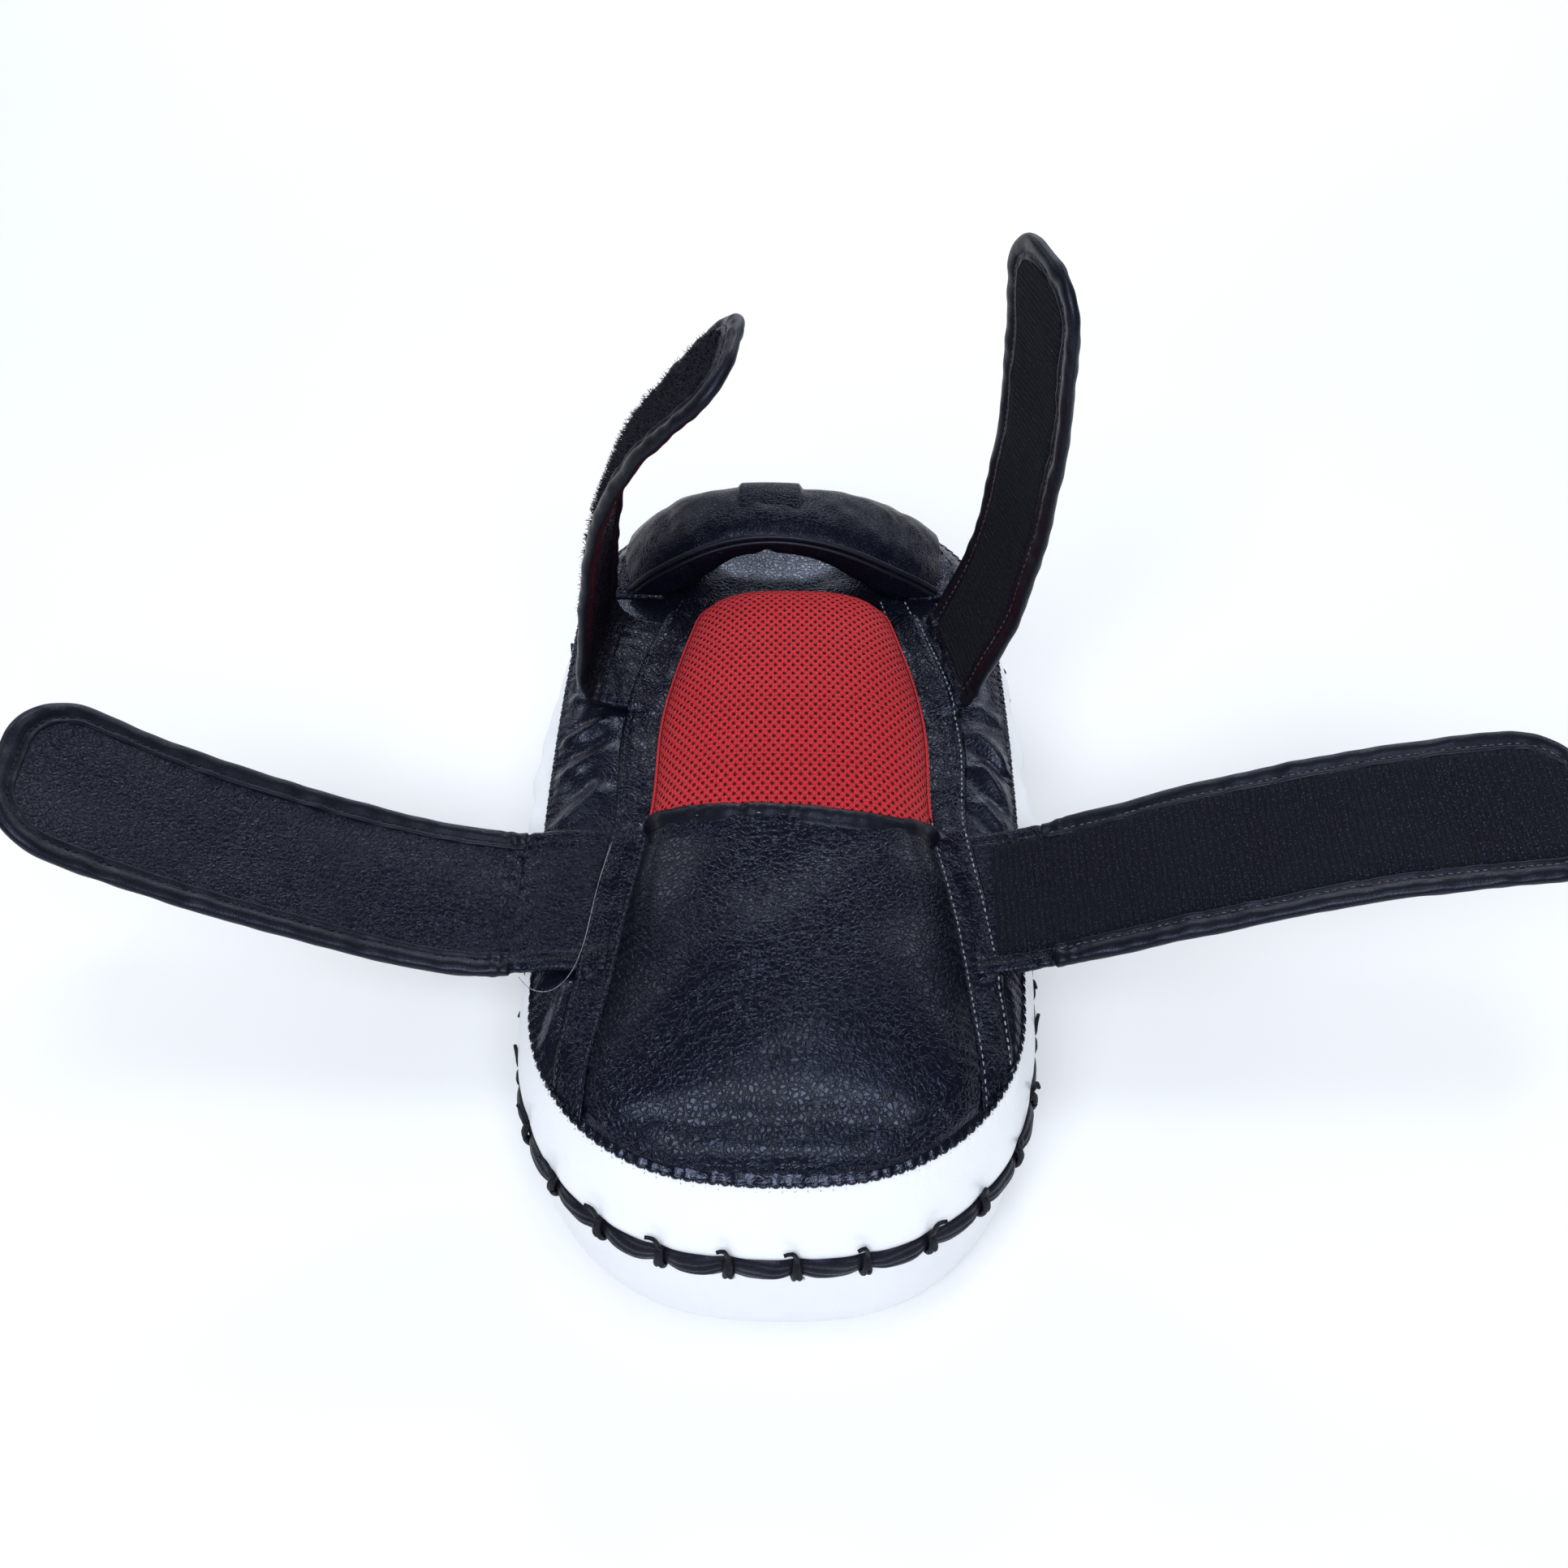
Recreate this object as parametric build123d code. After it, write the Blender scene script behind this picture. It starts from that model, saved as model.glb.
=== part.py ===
from build123d import *
import math
import os

# Thai pad: an oval foam kick pad that lies on its strike face.
# Frame: millimetres, origin at the centre of the strike face, +X across the pad, +Y towards the
# hand grip, +Z out of the back, where the forearm lies.

# ---- pad body -------------------------------------------------------------------------------
PAD_LENGTH = 384.0               # along the lacing, the widest line
PAD_WIDTH = 201.0
FACE_INSET = (6.0, 12.5)         # flat strike face inside the widest line: at the ends, at the sides
ROLL_INSET = (0.5, 4.5)          # top of the rolled lower edge
SEAM_INSET = (12.8, 5.3)         # seam between side wall and back panel
PLATEAU_INSET = (25.0, 17.5)     # flat part of the back panel
PLATEAU_MARGIN = 1.0             # trim sewn to the back keeps this far inside its flat part
SIDE_RADIUS = 1800.0
END_RADIUS = 200.0
CORNER_RADIUS = 80.0             # of the widest line; the others keep nearly parallel corners
CORNER_SHARE = 0.9               # corner radius lost per millimetre of side inset
ROLL_Z = 10.0
LACE_LOW_Z = 47.0
LACE_HIGH_Z = 57.0
SEAM_Z = 88.0
BACK_Z = 96.0
COVER = 2.2                      # vinyl and its lining
LACE_RECESS = 1.0
LACE_STRIP = 3.0                 # depth of the gathered strip
FOAM_GAP = 0.2
STRIKE_FOAM_TOP = 34.0
CORE_FOAM_TOP = 62.0
LACE_HALF = (PAD_LENGTH / 2, PAD_WIDTH / 2)
FACE_HALF = (LACE_HALF[0] - FACE_INSET[0], LACE_HALF[1] - FACE_INSET[1])
ROLL_HALF = (LACE_HALF[0] - ROLL_INSET[0], LACE_HALF[1] - ROLL_INSET[1])
SEAM_HALF = (LACE_HALF[0] - SEAM_INSET[0], LACE_HALF[1] - SEAM_INSET[1])
PLATEAU_HALF = (LACE_HALF[0] - PLATEAU_INSET[0], LACE_HALF[1] - PLATEAU_INSET[1])

# ---- lacing ties ----------------------------------------------------------------------------
TIE_PITCH = 25.0
TIE_SIZE = (2.6, 1.8, 13.0)      # along the lacing, proud of it, tall
TIE_GAP = 0.1

# ---- hand grip ------------------------------------------------------------------------------
GRIP_FROM_END = 37.0             # grip's middle from the far end of the plateau
GRIP_WIDTH = 42.0
GRIP_THICK = 20.0
GRIP_CORNER = 9.0
GRIP_SKIN = 1.8
GRIP_RISE = 29.5                 # crown of the arch's middle line above the back panel
GRIP_CROWN_X = -8.0
GRIP_FOOT_IN = 19.0              # foot of the middle line from the plateau's side
GRIP_SWING = 20.0                # degrees that the feet leave free under the arch
WEBBING = (32.0, 2.0)
PIPING_RADIUS = 1.8
WRAP_LENGTH = 28.0
WRAP_THICK = 1.6
ANCHOR_IN = 10.0                 # inner edge of the anchor patch from the foot
ANCHOR_OUT = 26.0
ANCHOR_THICK = 2.5
ANCHOR_MARGIN = 1.0              # patch beyond each side of the grip
RUN_GAP = 0.3                    # clearance between bodies that move
GRIP_Y = PLATEAU_HALF[0] - GRIP_FROM_END
GRIP_FOOT_X = PLATEAU_HALF[1] - GRIP_FOOT_IN
GRIP_CROWN = (GRIP_CROWN_X, BACK_Z + GRIP_RISE)
GRIP_AXIS_Z = BACK_Z + ANCHOR_THICK + RUN_GAP

# ---- forearm cushion and its side strips ----------------------------------------------------
CUSHION_SHIFT = 3.5              # the cushion is sewn on a little to one side
CUSHION_NEAR_IN = 3.0            # near end from the end of the plateau
CUSHION_FAR_IN = 4.0             # far end from the near side of the grip
CUSHION_NEAR_Y = CUSHION_NEAR_IN - PLATEAU_HALF[0]
CUSHION_FAR_Y = GRIP_Y - GRIP_WIDTH / 2 - CUSHION_FAR_IN
CUSHION_JOIN_SHARE = 0.525       # of the cushion's length that is vinyl, the rest is mesh
CUSHION_JOIN_Y = CUSHION_FAR_Y - (CUSHION_FAR_Y - CUSHION_NEAR_Y) * CUSHION_JOIN_SHARE
# half width at shares of the length from the near end to the join, then to the far end
NEAR_WIDTHS = ((0.0, 67.0), (0.55, 64.0), (1.0, 57.0))
FAR_WIDTHS = ((0.4, 54.0), (0.67, 48.0), (1.0, 38.5))
CUSHION_RISE = 23.0
CUSHION_SHOULDER = (5.0, 0.6)    # inset of the shoulder, and its height as a share of the rise
CUSHION_CROWN_INSET = 17.0
NEAR_CORNER = 42.0
FAR_CORNER = 22.0
CUSHION_SKIN = 2.0
HEM = (3.0, 1.2)                 # width and thickness of the hem at the join
STRIP_WIDTH = 14.5
STRIP_THICK = 3.2

# ---- straps ---------------------------------------------------------------------------------
STRAP_THICK = 3.2
BINDING_THICK = 0.8
BINDING_WIDTH = 6.0
TAPE_THICK = 1.6
TAPE_MARGIN = 8.0
STRAP_LIFT = 0.2                 # a strap laid flat clears the back panel by this
TAB_LAP = 2.0                    # length of a tab that lies on its side strip
FOLD_MARGIN = 6.0                # bare leather each side of a fold
FOLD_EDGE = 0.6                  # half thickness of the leather at a fold
FOLD_GAP = 0.6                   # clearance along the strap at a fold
LOWER_WIDTH = 70.0
UPPER_WIDTH = 56.0
LOWER_FROM_JOIN = 26.5           # middle of the lower straps from the cushion's join
UPPER_FROM_GRIP = 14.0           # far edge of the upper straps from the near side of the grip
TIP_CORNERS = {LOWER_WIDTH: 27.0, UPPER_WIDTH: 22.0}
STRAP_Z = BACK_Z + STRAP_LIFT + STRAP_THICK / 2 + TAPE_THICK
LOWER_Y = CUSHION_JOIN_Y - LOWER_FROM_JOIN
UPPER_Y = GRIP_Y - GRIP_WIDTH / 2 - UPPER_FROM_GRIP - UPPER_WIDTH / 2
# name: side, width, y, slant towards the grip in degrees, length of the tab, rise of the tab,
#       elevation and length of the root link, elevation and length of the tip link,
#       tape face (+1 is the forearm side)
STRAPS = {
    "lower_left": (-1, LOWER_WIDTH, LOWER_Y, 0.0, 30.5, 0.0, 16.5, 102.0, 33.0, 94.0, -1),
    "lower_right": (1, LOWER_WIDTH, LOWER_Y, 0.0, 26.0, 12.2, 21.0, 105.5, 12.0, 95.0, 1),
    "upper_left": (-1, UPPER_WIDTH, UPPER_Y, 6.0, 17.5, 0.0, 94.5, 105.0, 132.0, 85.0, -1),
    "upper_right": (1, UPPER_WIDTH, UPPER_Y, 11.0, 6.0, 0.0, 76.5, 112.0, 93.0, 89.0, 1),
}


def unit(start, end):
    """Unit vector from start to end, both (x, y)."""
    length = math.hypot(end[0] - start[0], end[1] - start[1])
    return ((end[0] - start[0]) / length, (end[1] - start[1]) / length)


def oval(half, z, inset=0.0):
    """Face with long side arcs, shallow end arcs and corner arcs tangent to both."""
    length, width = half[0] - inset, half[1] - inset
    corner = CORNER_RADIUS - (LACE_HALF[1] - half[1]) * CORNER_SHARE - inset
    side, end = SIDE_RADIUS, END_RADIUS
    side_c, end_c = (width - side, 0.0), (0.0, length - end)
    r1, r2 = side - corner, end - corner
    gap = math.hypot(end_c[0] - side_c[0], end_c[1] - side_c[1])
    along = (r1 * r1 - r2 * r2 + gap * gap) / (2 * gap)
    off = math.sqrt(r1 * r1 - along * along)
    ux, uy = unit(side_c, end_c)
    centre = (side_c[0] + along * ux - off * uy, side_c[1] + along * uy + off * ux)
    if centre[1] < 0 or centre[0] < 0:
        centre = (side_c[0] + along * ux + off * uy, side_c[1] + along * uy - off * ux)
    su, eu = unit(side_c, centre), unit(end_c, centre)
    a = (side_c[0] + su[0] * side, side_c[1] + su[1] * side)
    b = (end_c[0] + eu[0] * end, end_c[1] + eu[1] * end)
    mu = unit((0, 0), (su[0] + eu[0], su[1] + eu[1]))
    m = (centre[0] + mu[0] * corner, centre[1] + mu[1] * corner)
    arcs = []
    for sx, sy in ((1, 1), (-1, -1)):
        arcs.append(ThreePointArc((sx * a[0], -sy * a[1]), (sx * width, 0), (sx * a[0], sy * a[1])))
        arcs.append(ThreePointArc((sx * a[0], sy * a[1]), (sx * m[0], sy * m[1]), (sx * b[0], sy * b[1])))
        arcs.append(ThreePointArc((sx * b[0], sy * b[1]), (0, sy * length), (-sx * b[0], sy * b[1])))
        arcs.append(ThreePointArc((-sx * b[0], sy * b[1]), (-sx * m[0], sy * m[1]), (-sx * a[0], sy * a[1])))
    return Pos(0, 0, z) * make_face(arcs)


def stack(*levels):
    """Solid through oval outlines, each (half, z, inset)."""
    return loft([oval(half, z, inset) for half, z, inset in levels], ruled=True)


def save(name, shape):
    """Write one sub-part as parts/NAME.step."""
    shape.label = name
    export_step(shape, f"parts/{name}.step")


# ---- pad body -------------------------------------------------------------------------------
def middle(z):
    """Outline of the side wall at height z, between the roll and the lacing."""
    share = (z - ROLL_Z) / (LACE_LOW_Z - ROLL_Z)
    return tuple(r + (s - r) * share for r, s in zip(ROLL_HALF, LACE_HALF))


def wall(z):
    """Outline of the upper side wall at height z, between the lacing and the seam."""
    share = (z - LACE_HIGH_Z) / (SEAM_Z - LACE_HIGH_Z)
    return tuple(r + (s - r) * share for r, s in zip(LACE_HALF, SEAM_HALF))


def strike_cover():
    """White tray: strike face and lower side wall."""
    outer = stack((FACE_HALF, 0, 0), (ROLL_HALF, ROLL_Z, 0), (LACE_HALF, LACE_LOW_Z, 0))
    inner = stack((FACE_HALF, COVER, COVER), (ROLL_HALF, ROLL_Z, COVER), (LACE_HALF, LACE_LOW_Z, COVER))
    return outer - inner


def upper_sidewall():
    """White band between the lacing and the back panel."""
    outer = stack((LACE_HALF, LACE_HIGH_Z, 0), (SEAM_HALF, SEAM_Z, 0))
    return outer - stack((LACE_HALF, LACE_HIGH_Z, COVER), (SEAM_HALF, SEAM_Z, COVER))


def lacing_strip():
    """Gathered strip that closes the two halves of the cover."""
    height = LACE_HIGH_Z - LACE_LOW_Z
    outer = extrude(oval(LACE_HALF, LACE_LOW_Z, LACE_RECESS), height)
    return outer - extrude(oval(LACE_HALF, LACE_LOW_Z, LACE_RECESS + LACE_STRIP), height)


def lacing_ties():
    """Cord ties round the strip, evenly spaced, one solid each."""
    along, proud, tall = TIE_SIZE
    path = oval(LACE_HALF, (LACE_LOW_Z + LACE_HIGH_Z) / 2, -TIE_GAP).faces()[0].outer_wire()
    count = round(path.length / TIE_PITCH)
    ties = []
    for i in range(count):
        spot = path.position_at((i + 0.5) / count)
        run = path.tangent_at((i + 0.5) / count)
        out = Vector(run.Y, -run.X, 0)
        if out.dot(Vector(spot.X, spot.Y, 0)) < 0:
            out = out * -1
        tie = Box(along, proud, tall)
        tie = fillet(tie.edges().filter_by(Axis.Z), proud * 0.35)
        ties.append(Plane(origin=spot + out * (proud / 2), x_dir=run, z_dir=(0, 0, 1)) * tie)
    return Compound(children=ties)


def back_panel():
    """Black panel that closes the back, sewn to the side wall at its rim."""
    rim = ((SEAM_HALF[0] + PLATEAU_HALF[0]) / 2 + 2, (SEAM_HALF[1] + PLATEAU_HALF[1]) / 2 + 2)
    rim_z = BACK_Z - 3.0
    outer = stack((SEAM_HALF, SEAM_Z, 0), (rim, rim_z, 0), (PLATEAU_HALF, BACK_Z, 0))
    inner = stack((SEAM_HALF, SEAM_Z, COVER), (rim, rim_z - COVER, COVER), (PLATEAU_HALF, BACK_Z - COVER, COVER))
    return outer - inner


def strike_foam():
    """Dense foam behind the strike face."""
    inset = COVER + FOAM_GAP
    top = middle(STRIKE_FOAM_TOP)
    return stack((FACE_HALF, COVER, inset), (ROLL_HALF, ROLL_Z, inset), (top, STRIKE_FOAM_TOP, inset))


def core_foam():
    """Middle foam layer, behind the lacing."""
    inset = LACE_RECESS + LACE_STRIP + FOAM_GAP
    low, high = middle(STRIKE_FOAM_TOP), wall(CORE_FOAM_TOP)
    return stack((low, STRIKE_FOAM_TOP, inset), (high, CORE_FOAM_TOP, inset))


def back_foam():
    """Soft foam layer under the back panel."""
    inset = COVER + FOAM_GAP
    lift = COVER + FOAM_GAP
    solid = stack((wall(CORE_FOAM_TOP), CORE_FOAM_TOP, inset), (SEAM_HALF, SEAM_Z, inset))
    cap = stack((SEAM_HALF, SEAM_Z, inset), (PLATEAU_HALF, BACK_Z - lift, inset))
    return solid + cap


# ---- forearm cushion ------------------------------------------------------------------------
def stations(shares, start, end):
    """Stations (y, half width) from shares of the way from start to end."""
    return [(start + (end - start) * share, width) for share, width in shares]


NEAR_EDGE = stations(NEAR_WIDTHS, CUSHION_NEAR_Y, CUSHION_JOIN_Y)
FAR_EDGE = stations(FAR_WIDTHS, CUSHION_JOIN_Y, CUSHION_FAR_Y)


def edge_half(y):
    """Half width of the cushion at y."""
    points = NEAR_EDGE + FAR_EDGE
    for (y0, w0), (y1, w1) in zip(points, points[1:]):
        if y <= y1:
            return w0 + (w1 - w0) * (y - y0) / (y1 - y0)
    return points[-1][1]


def cushion_face(ys, end_y, corner, inset, z):
    """Cushion outline through stations ys; ys[0] is the join and end_y the rounded end."""
    sign = 1 if end_y > ys[0] else -1
    rows = list(ys) + [end_y - sign * inset]
    right = [(edge_half(y) - inset, y) for y in rows]
    left = [(-x, y) for x, y in reversed(right)]
    face = make_face(Polyline(*right, *left, close=True))
    ends = face.vertices().filter_by(lambda v: abs(v.Y - rows[-1]) < 0.01)
    return Pos(CUSHION_SHIFT, 0, z) * fillet(ends, corner)


def cushion_solid(ys, end_y, corner, grow):
    """Domed cushion, grown by grow all round (negative shrinks it)."""
    inset, share = CUSHION_SHOULDER
    levels = [(0.0, 0.0), (inset, CUSHION_RISE * share), (CUSHION_CROWN_INSET, CUSHION_RISE)]
    faces = []
    for step_in, rise in levels:
        lift = grow if rise > 0 else 0.0
        faces.append(cushion_face(ys, end_y, corner - step_in * 0.6, step_in - grow, BACK_Z + rise + lift))
    return loft(faces, ruled=True)


NEAR_YS = (CUSHION_JOIN_Y, NEAR_EDGE[1][0])
FAR_YS = (CUSHION_JOIN_Y, FAR_EDGE[0][0], FAR_EDGE[1][0])


def forearm_cushion():
    """Vinyl cover and foam of the near half of the cushion."""
    outer = cushion_solid(NEAR_YS, CUSHION_NEAR_Y, NEAR_CORNER, 0.0)
    inner = cushion_solid(NEAR_YS, CUSHION_NEAR_Y, NEAR_CORNER, -CUSHION_SKIN)
    foam = cushion_solid(NEAR_YS, CUSHION_NEAR_Y, NEAR_CORNER, -CUSHION_SKIN - FOAM_GAP)
    return outer - inner, foam


def wrist_cushion():
    """Mesh cover and foam of the far half of the cushion."""
    outer = cushion_solid(FAR_YS, CUSHION_FAR_Y, FAR_CORNER, 0.0)
    inner = cushion_solid(FAR_YS, CUSHION_FAR_Y, FAR_CORNER, -CUSHION_SKIN)
    foam = cushion_solid(FAR_YS, CUSHION_FAR_Y, FAR_CORNER, -CUSHION_SKIN - FOAM_GAP)
    return outer - inner, foam


def cushion_hem():
    """Folded hem of the vinyl over the start of the mesh."""
    width, thick = HEM
    slab = Pos(CUSHION_SHIFT, CUSHION_JOIN_Y - width / 2, BACK_Z + CUSHION_RISE) * Box(200, width, 60)
    shell = cushion_solid(NEAR_YS, CUSHION_NEAR_Y, NEAR_CORNER, thick)
    hem = (shell & slab) - cushion_solid(NEAR_YS, CUSHION_NEAR_Y, NEAR_CORNER, 0.0)
    return hem - side_strip(-1) - side_strip(1)


def side_strip(side):
    """Strip that covers the long edge of the cushion and the inner ends of the straps."""
    inner = [(CUSHION_SHIFT + side * w, y) for y, w in NEAR_EDGE + FAR_EDGE]
    outer = [(x + side * STRIP_WIDTH, y) for x, y in reversed(inner)]
    band = extrude(Pos(0, 0, BACK_Z) * make_face(Polyline(*inner, *outer, close=True)), STRIP_THICK)
    return band & extrude(oval(PLATEAU_HALF, BACK_Z, PLATEAU_MARGIN), STRIP_THICK)


# ---- hand grip ------------------------------------------------------------------------------
def grip_path():
    """Middle line of the grip: an arch of two arcs, tangent at the crown."""
    crown_x, crown_z = GRIP_CROWN
    rise = crown_z - BACK_Z
    arcs = []
    for side in (-1, 1):
        span = GRIP_FOOT_X - side * crown_x
        radius = (span * span + rise * rise) / (2 * rise)
        turn = math.asin(span / radius)
        points = []
        for share in (0.0, 0.5, 1.0):
            x = crown_x + side * radius * math.sin(turn * share)
            z = crown_z - radius * (1 - math.cos(turn * share))
            points.append((x, GRIP_Y, z))
        arcs.append(points)
    left, right = arcs
    return Wire([ThreePointArc(left[2], left[1], left[0]), ThreePointArc(right[0], right[1], right[2])])


def section_plane(path):
    """Plane across the start of the path; x runs along Y."""
    return Plane(origin=path.position_at(0), x_dir=(0, 1, 0), z_dir=path.tangent_at(0))


def grip_band(width, thick, corner):
    """Rounded band swept along the arch."""
    path = grip_path()
    return sweep(section_plane(path) * RectangleRounded(width, thick, corner), path)


def grip_room():
    """Space that the swinging grip may fill: above a shallow V over its hinge line."""
    reach, top = 60.0, 200.0
    slope = math.tan(math.radians(GRIP_SWING)) * reach
    low, y, z = GRIP_AXIS_Z + slope, GRIP_Y, GRIP_AXIS_Z
    points = [(y, z), (y + reach, low), (y + reach, top), (y - reach, top), (y - reach, low)]
    face = make_face(Polyline(*[(-150.0, py, pz) for py, pz in points], close=True))
    return extrude(face, 300.0, dir=(1, 0, 0))


def grip_parts():
    """Cover, foam, webbing, piping and centre wrap of the hand grip."""
    room = grip_room()
    outer = grip_band(GRIP_WIDTH, GRIP_THICK, GRIP_CORNER)
    skin = GRIP_SKIN
    inner = grip_band(GRIP_WIDTH - 2 * skin, GRIP_THICK - 2 * skin, GRIP_CORNER - skin)
    core = grip_band(WEBBING[0], WEBBING[1], 0.9)
    slot = grip_band(WEBBING[0] + 2 * FOAM_GAP, WEBBING[1] + 2 * FOAM_GAP, 1.1)
    path = grip_path()
    shoulder = (GRIP_CORNER + PIPING_RADIUS + FOAM_GAP) * math.sqrt(0.5)
    across = GRIP_WIDTH / 2 - GRIP_CORNER + shoulder
    above = GRIP_THICK / 2 - GRIP_CORNER + shoulder
    plane = section_plane(path)
    spot = Pos(-across, above if plane.y_dir.Z > 0 else -above)
    piping = sweep(plane * spot * Circle(PIPING_RADIUS), path)
    grow = 2 * WRAP_THICK
    wrap = RectangleRounded(GRIP_WIDTH + grow, GRIP_THICK + grow, GRIP_CORNER + WRAP_THICK)
    wrap = wrap - RectangleRounded(GRIP_WIDTH, GRIP_THICK, GRIP_CORNER)
    wrap = wrap - spot * Circle(PIPING_RADIUS + 3 * FOAM_GAP)
    crown = Pos(GRIP_CROWN[0], GRIP_Y, GRIP_CROWN[1]) * Box(WRAP_LENGTH, 2 * GRIP_WIDTH, 4 * GRIP_THICK)
    return {
        "grip_cover": (outer - inner) & room,
        "grip_foam": (inner - slot) & room,
        "grip_webbing": core & room,
        "grip_piping": piping & room,
        "grip_centre_wrap": sweep(plane * wrap, path) & crown,
    }


def grip_anchor(side):
    """Stitched patch that holds one foot of the grip to the back panel."""
    middle_x = side * (GRIP_FOOT_X + (ANCHOR_OUT - ANCHOR_IN) / 2)
    size = (ANCHOR_IN + ANCHOR_OUT, GRIP_WIDTH + 2 * ANCHOR_MARGIN, ANCHOR_THICK)
    patch = Pos(middle_x, GRIP_Y, BACK_Z + ANCHOR_THICK / 2) * Box(*size)
    return patch & extrude(oval(PLATEAU_HALF, BACK_Z, PLATEAU_MARGIN), ANCHOR_THICK)


# ---- straps ---------------------------------------------------------------------------------
def strap_plane(origin, side, slant, elevation):
    """Plane of a strap: x runs along it, z is its forearm side."""
    s, e = math.radians(slant), math.radians(elevation)
    run = (side * math.cos(s) * math.cos(e), math.sin(s) * math.cos(e), math.sin(e))
    face = (-side * math.cos(s) * math.sin(e), -math.sin(s) * math.sin(e), math.cos(e))
    return Plane(origin=origin, x_dir=run, z_dir=face)


def leather(start, end, width, round_start, thin_end):
    """Flat strap body along x; a round start turns in the thin end of the piece before it."""
    half = STRAP_THICK / 2
    top = [(start, half)]
    if thin_end:
        tip = end - half - FOLD_GAP
        top += [(end - FOLD_MARGIN, half), (tip, FOLD_EDGE)]
    else:
        top += [(end, half)]
    bottom = [(x, -z) for x, z in reversed(top)]
    face = make_face(Polyline(*[(x, 0, z) for x, z in top + bottom], close=True))
    body = extrude(face, width / 2, both=True)
    if round_start:
        body = body + Pos(start, 0, 0) * Rot(90, 0, 0) * Cylinder(half, width)
    return body


def tip_outline(length, width, corner, inset, start):
    """Plan of a strap tip with a rounded end, from x = start."""
    span = length - inset - start
    face = Pos(start + span / 2, 0) * Rectangle(span, width - 2 * inset)
    ends = face.vertices().filter_by(lambda v: v.X > length - inset - 0.01)
    return fillet(ends, corner - inset)


def slab(face, thick, z=0.0):
    """Plan extruded to thick, with its middle at z."""
    return extrude(Pos(0, 0, z) * face, thick / 2, both=True)


def strap_parts(name):
    """Tab, and the leather, tape and binding of both links of one strap."""
    side, width, y, slant, tab_l, rise, root_e, root_l, tip_e, tip_l, tape = STRAPS[name]
    strip_x = CUSHION_SHIFT + side * (edge_half(y) + STRIP_WIDTH)
    tab_z = STRAP_Z + tab_l * math.sin(math.radians(rise))
    origin = Vector(strip_x + side * tab_l * math.cos(math.radians(rise)), y, tab_z)
    root = strap_plane(origin, side, slant, root_e)
    tip = strap_plane(origin + root.x_dir * root_l, side, slant, tip_e)
    corner = TIP_CORNERS[width]
    body_width = width - 2 * BINDING_THICK
    edge_thick = STRAP_THICK + 2 * BINDING_THICK
    tape_z = tape * (STRAP_THICK + TAPE_THICK) / 2
    margin = FOLD_MARGIN

    tab = strap_plane(origin, side, slant, rise) * leather(-tab_l - TAB_LAP, 0, body_width, False, True)
    tab = tab - side_strip(side)

    root_leather = leather(0, root_l, body_width, True, True)
    bars = Box(root_l - 2 * margin, BINDING_WIDTH, edge_thick)
    reach = (width - BINDING_WIDTH) / 2
    root_binding = Pos(root_l / 2, reach, 0) * bars + Pos(root_l / 2, -reach, 0) * bars
    root_tape = Pos(root_l / 2, 0, tape_z) * Box(root_l - 2 * margin, width - 2 * TAPE_MARGIN, TAPE_THICK)

    plan = tip_outline(tip_l - BINDING_THICK, body_width, corner, 0, 0)
    tip_leather = slab(plan, STRAP_THICK) + Rot(90, 0, 0) * Cylinder(STRAP_THICK / 2, body_width)
    ring = tip_outline(tip_l, width, corner, 0, margin) - tip_outline(tip_l, width, corner, BINDING_WIDTH, 0)
    tip_tape = slab(tip_outline(tip_l, width, corner, TAPE_MARGIN, margin), TAPE_THICK, tape_z)

    return {
        f"{name}_strap_tab": tab,
        f"{name}_root_leather": root * root_leather,
        f"{name}_root_binding": root * (root_binding - root_leather),
        f"{name}_root_tape": root * root_tape,
        f"{name}_tip_leather": tip * tip_leather,
        f"{name}_tip_binding": tip * (slab(ring, edge_thick) - tip_leather),
        f"{name}_tip_tape": tip * tip_tape,
    }


# ---- assembly -------------------------------------------------------------------------------
def main():
    """Write every sub-part."""
    os.makedirs("parts", exist_ok=True)
    for maker in (strike_cover, upper_sidewall, lacing_strip, lacing_ties, back_panel,
                  strike_foam, core_foam, back_foam, cushion_hem):
        save(maker.__name__, maker())
    for name, (cover, foam) in (("forearm_cushion", forearm_cushion()), ("wrist_cushion", wrist_cushion())):
        save(f"{name}_cover", cover)
        save(f"{name}_foam", foam)
    for word, side in (("left", -1), ("right", 1)):
        save(f"side_strip_{word}", side_strip(side))
        save(f"grip_anchor_{word}", grip_anchor(side))
    for name, shape in grip_parts().items():
        save(name, shape)
    for strap in STRAPS:
        for name, shape in strap_parts(strap).items():
            save(name, shape)


main()
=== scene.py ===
"""Thai pad: the soft covers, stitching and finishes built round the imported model.

Sizes are in millimetres in the pad's own frame and become metres when a mesh is made.
The frame's origin is the middle of the strike face, +X across, +Y towards the hand grip, +Z up.
"""

import logging
import math
from dataclasses import dataclass, field
from enum import Enum
from typing import Callable, Optional, Sequence

import bmesh
import bpy
import numpy as np
from mathutils import Matrix, Vector

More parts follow.
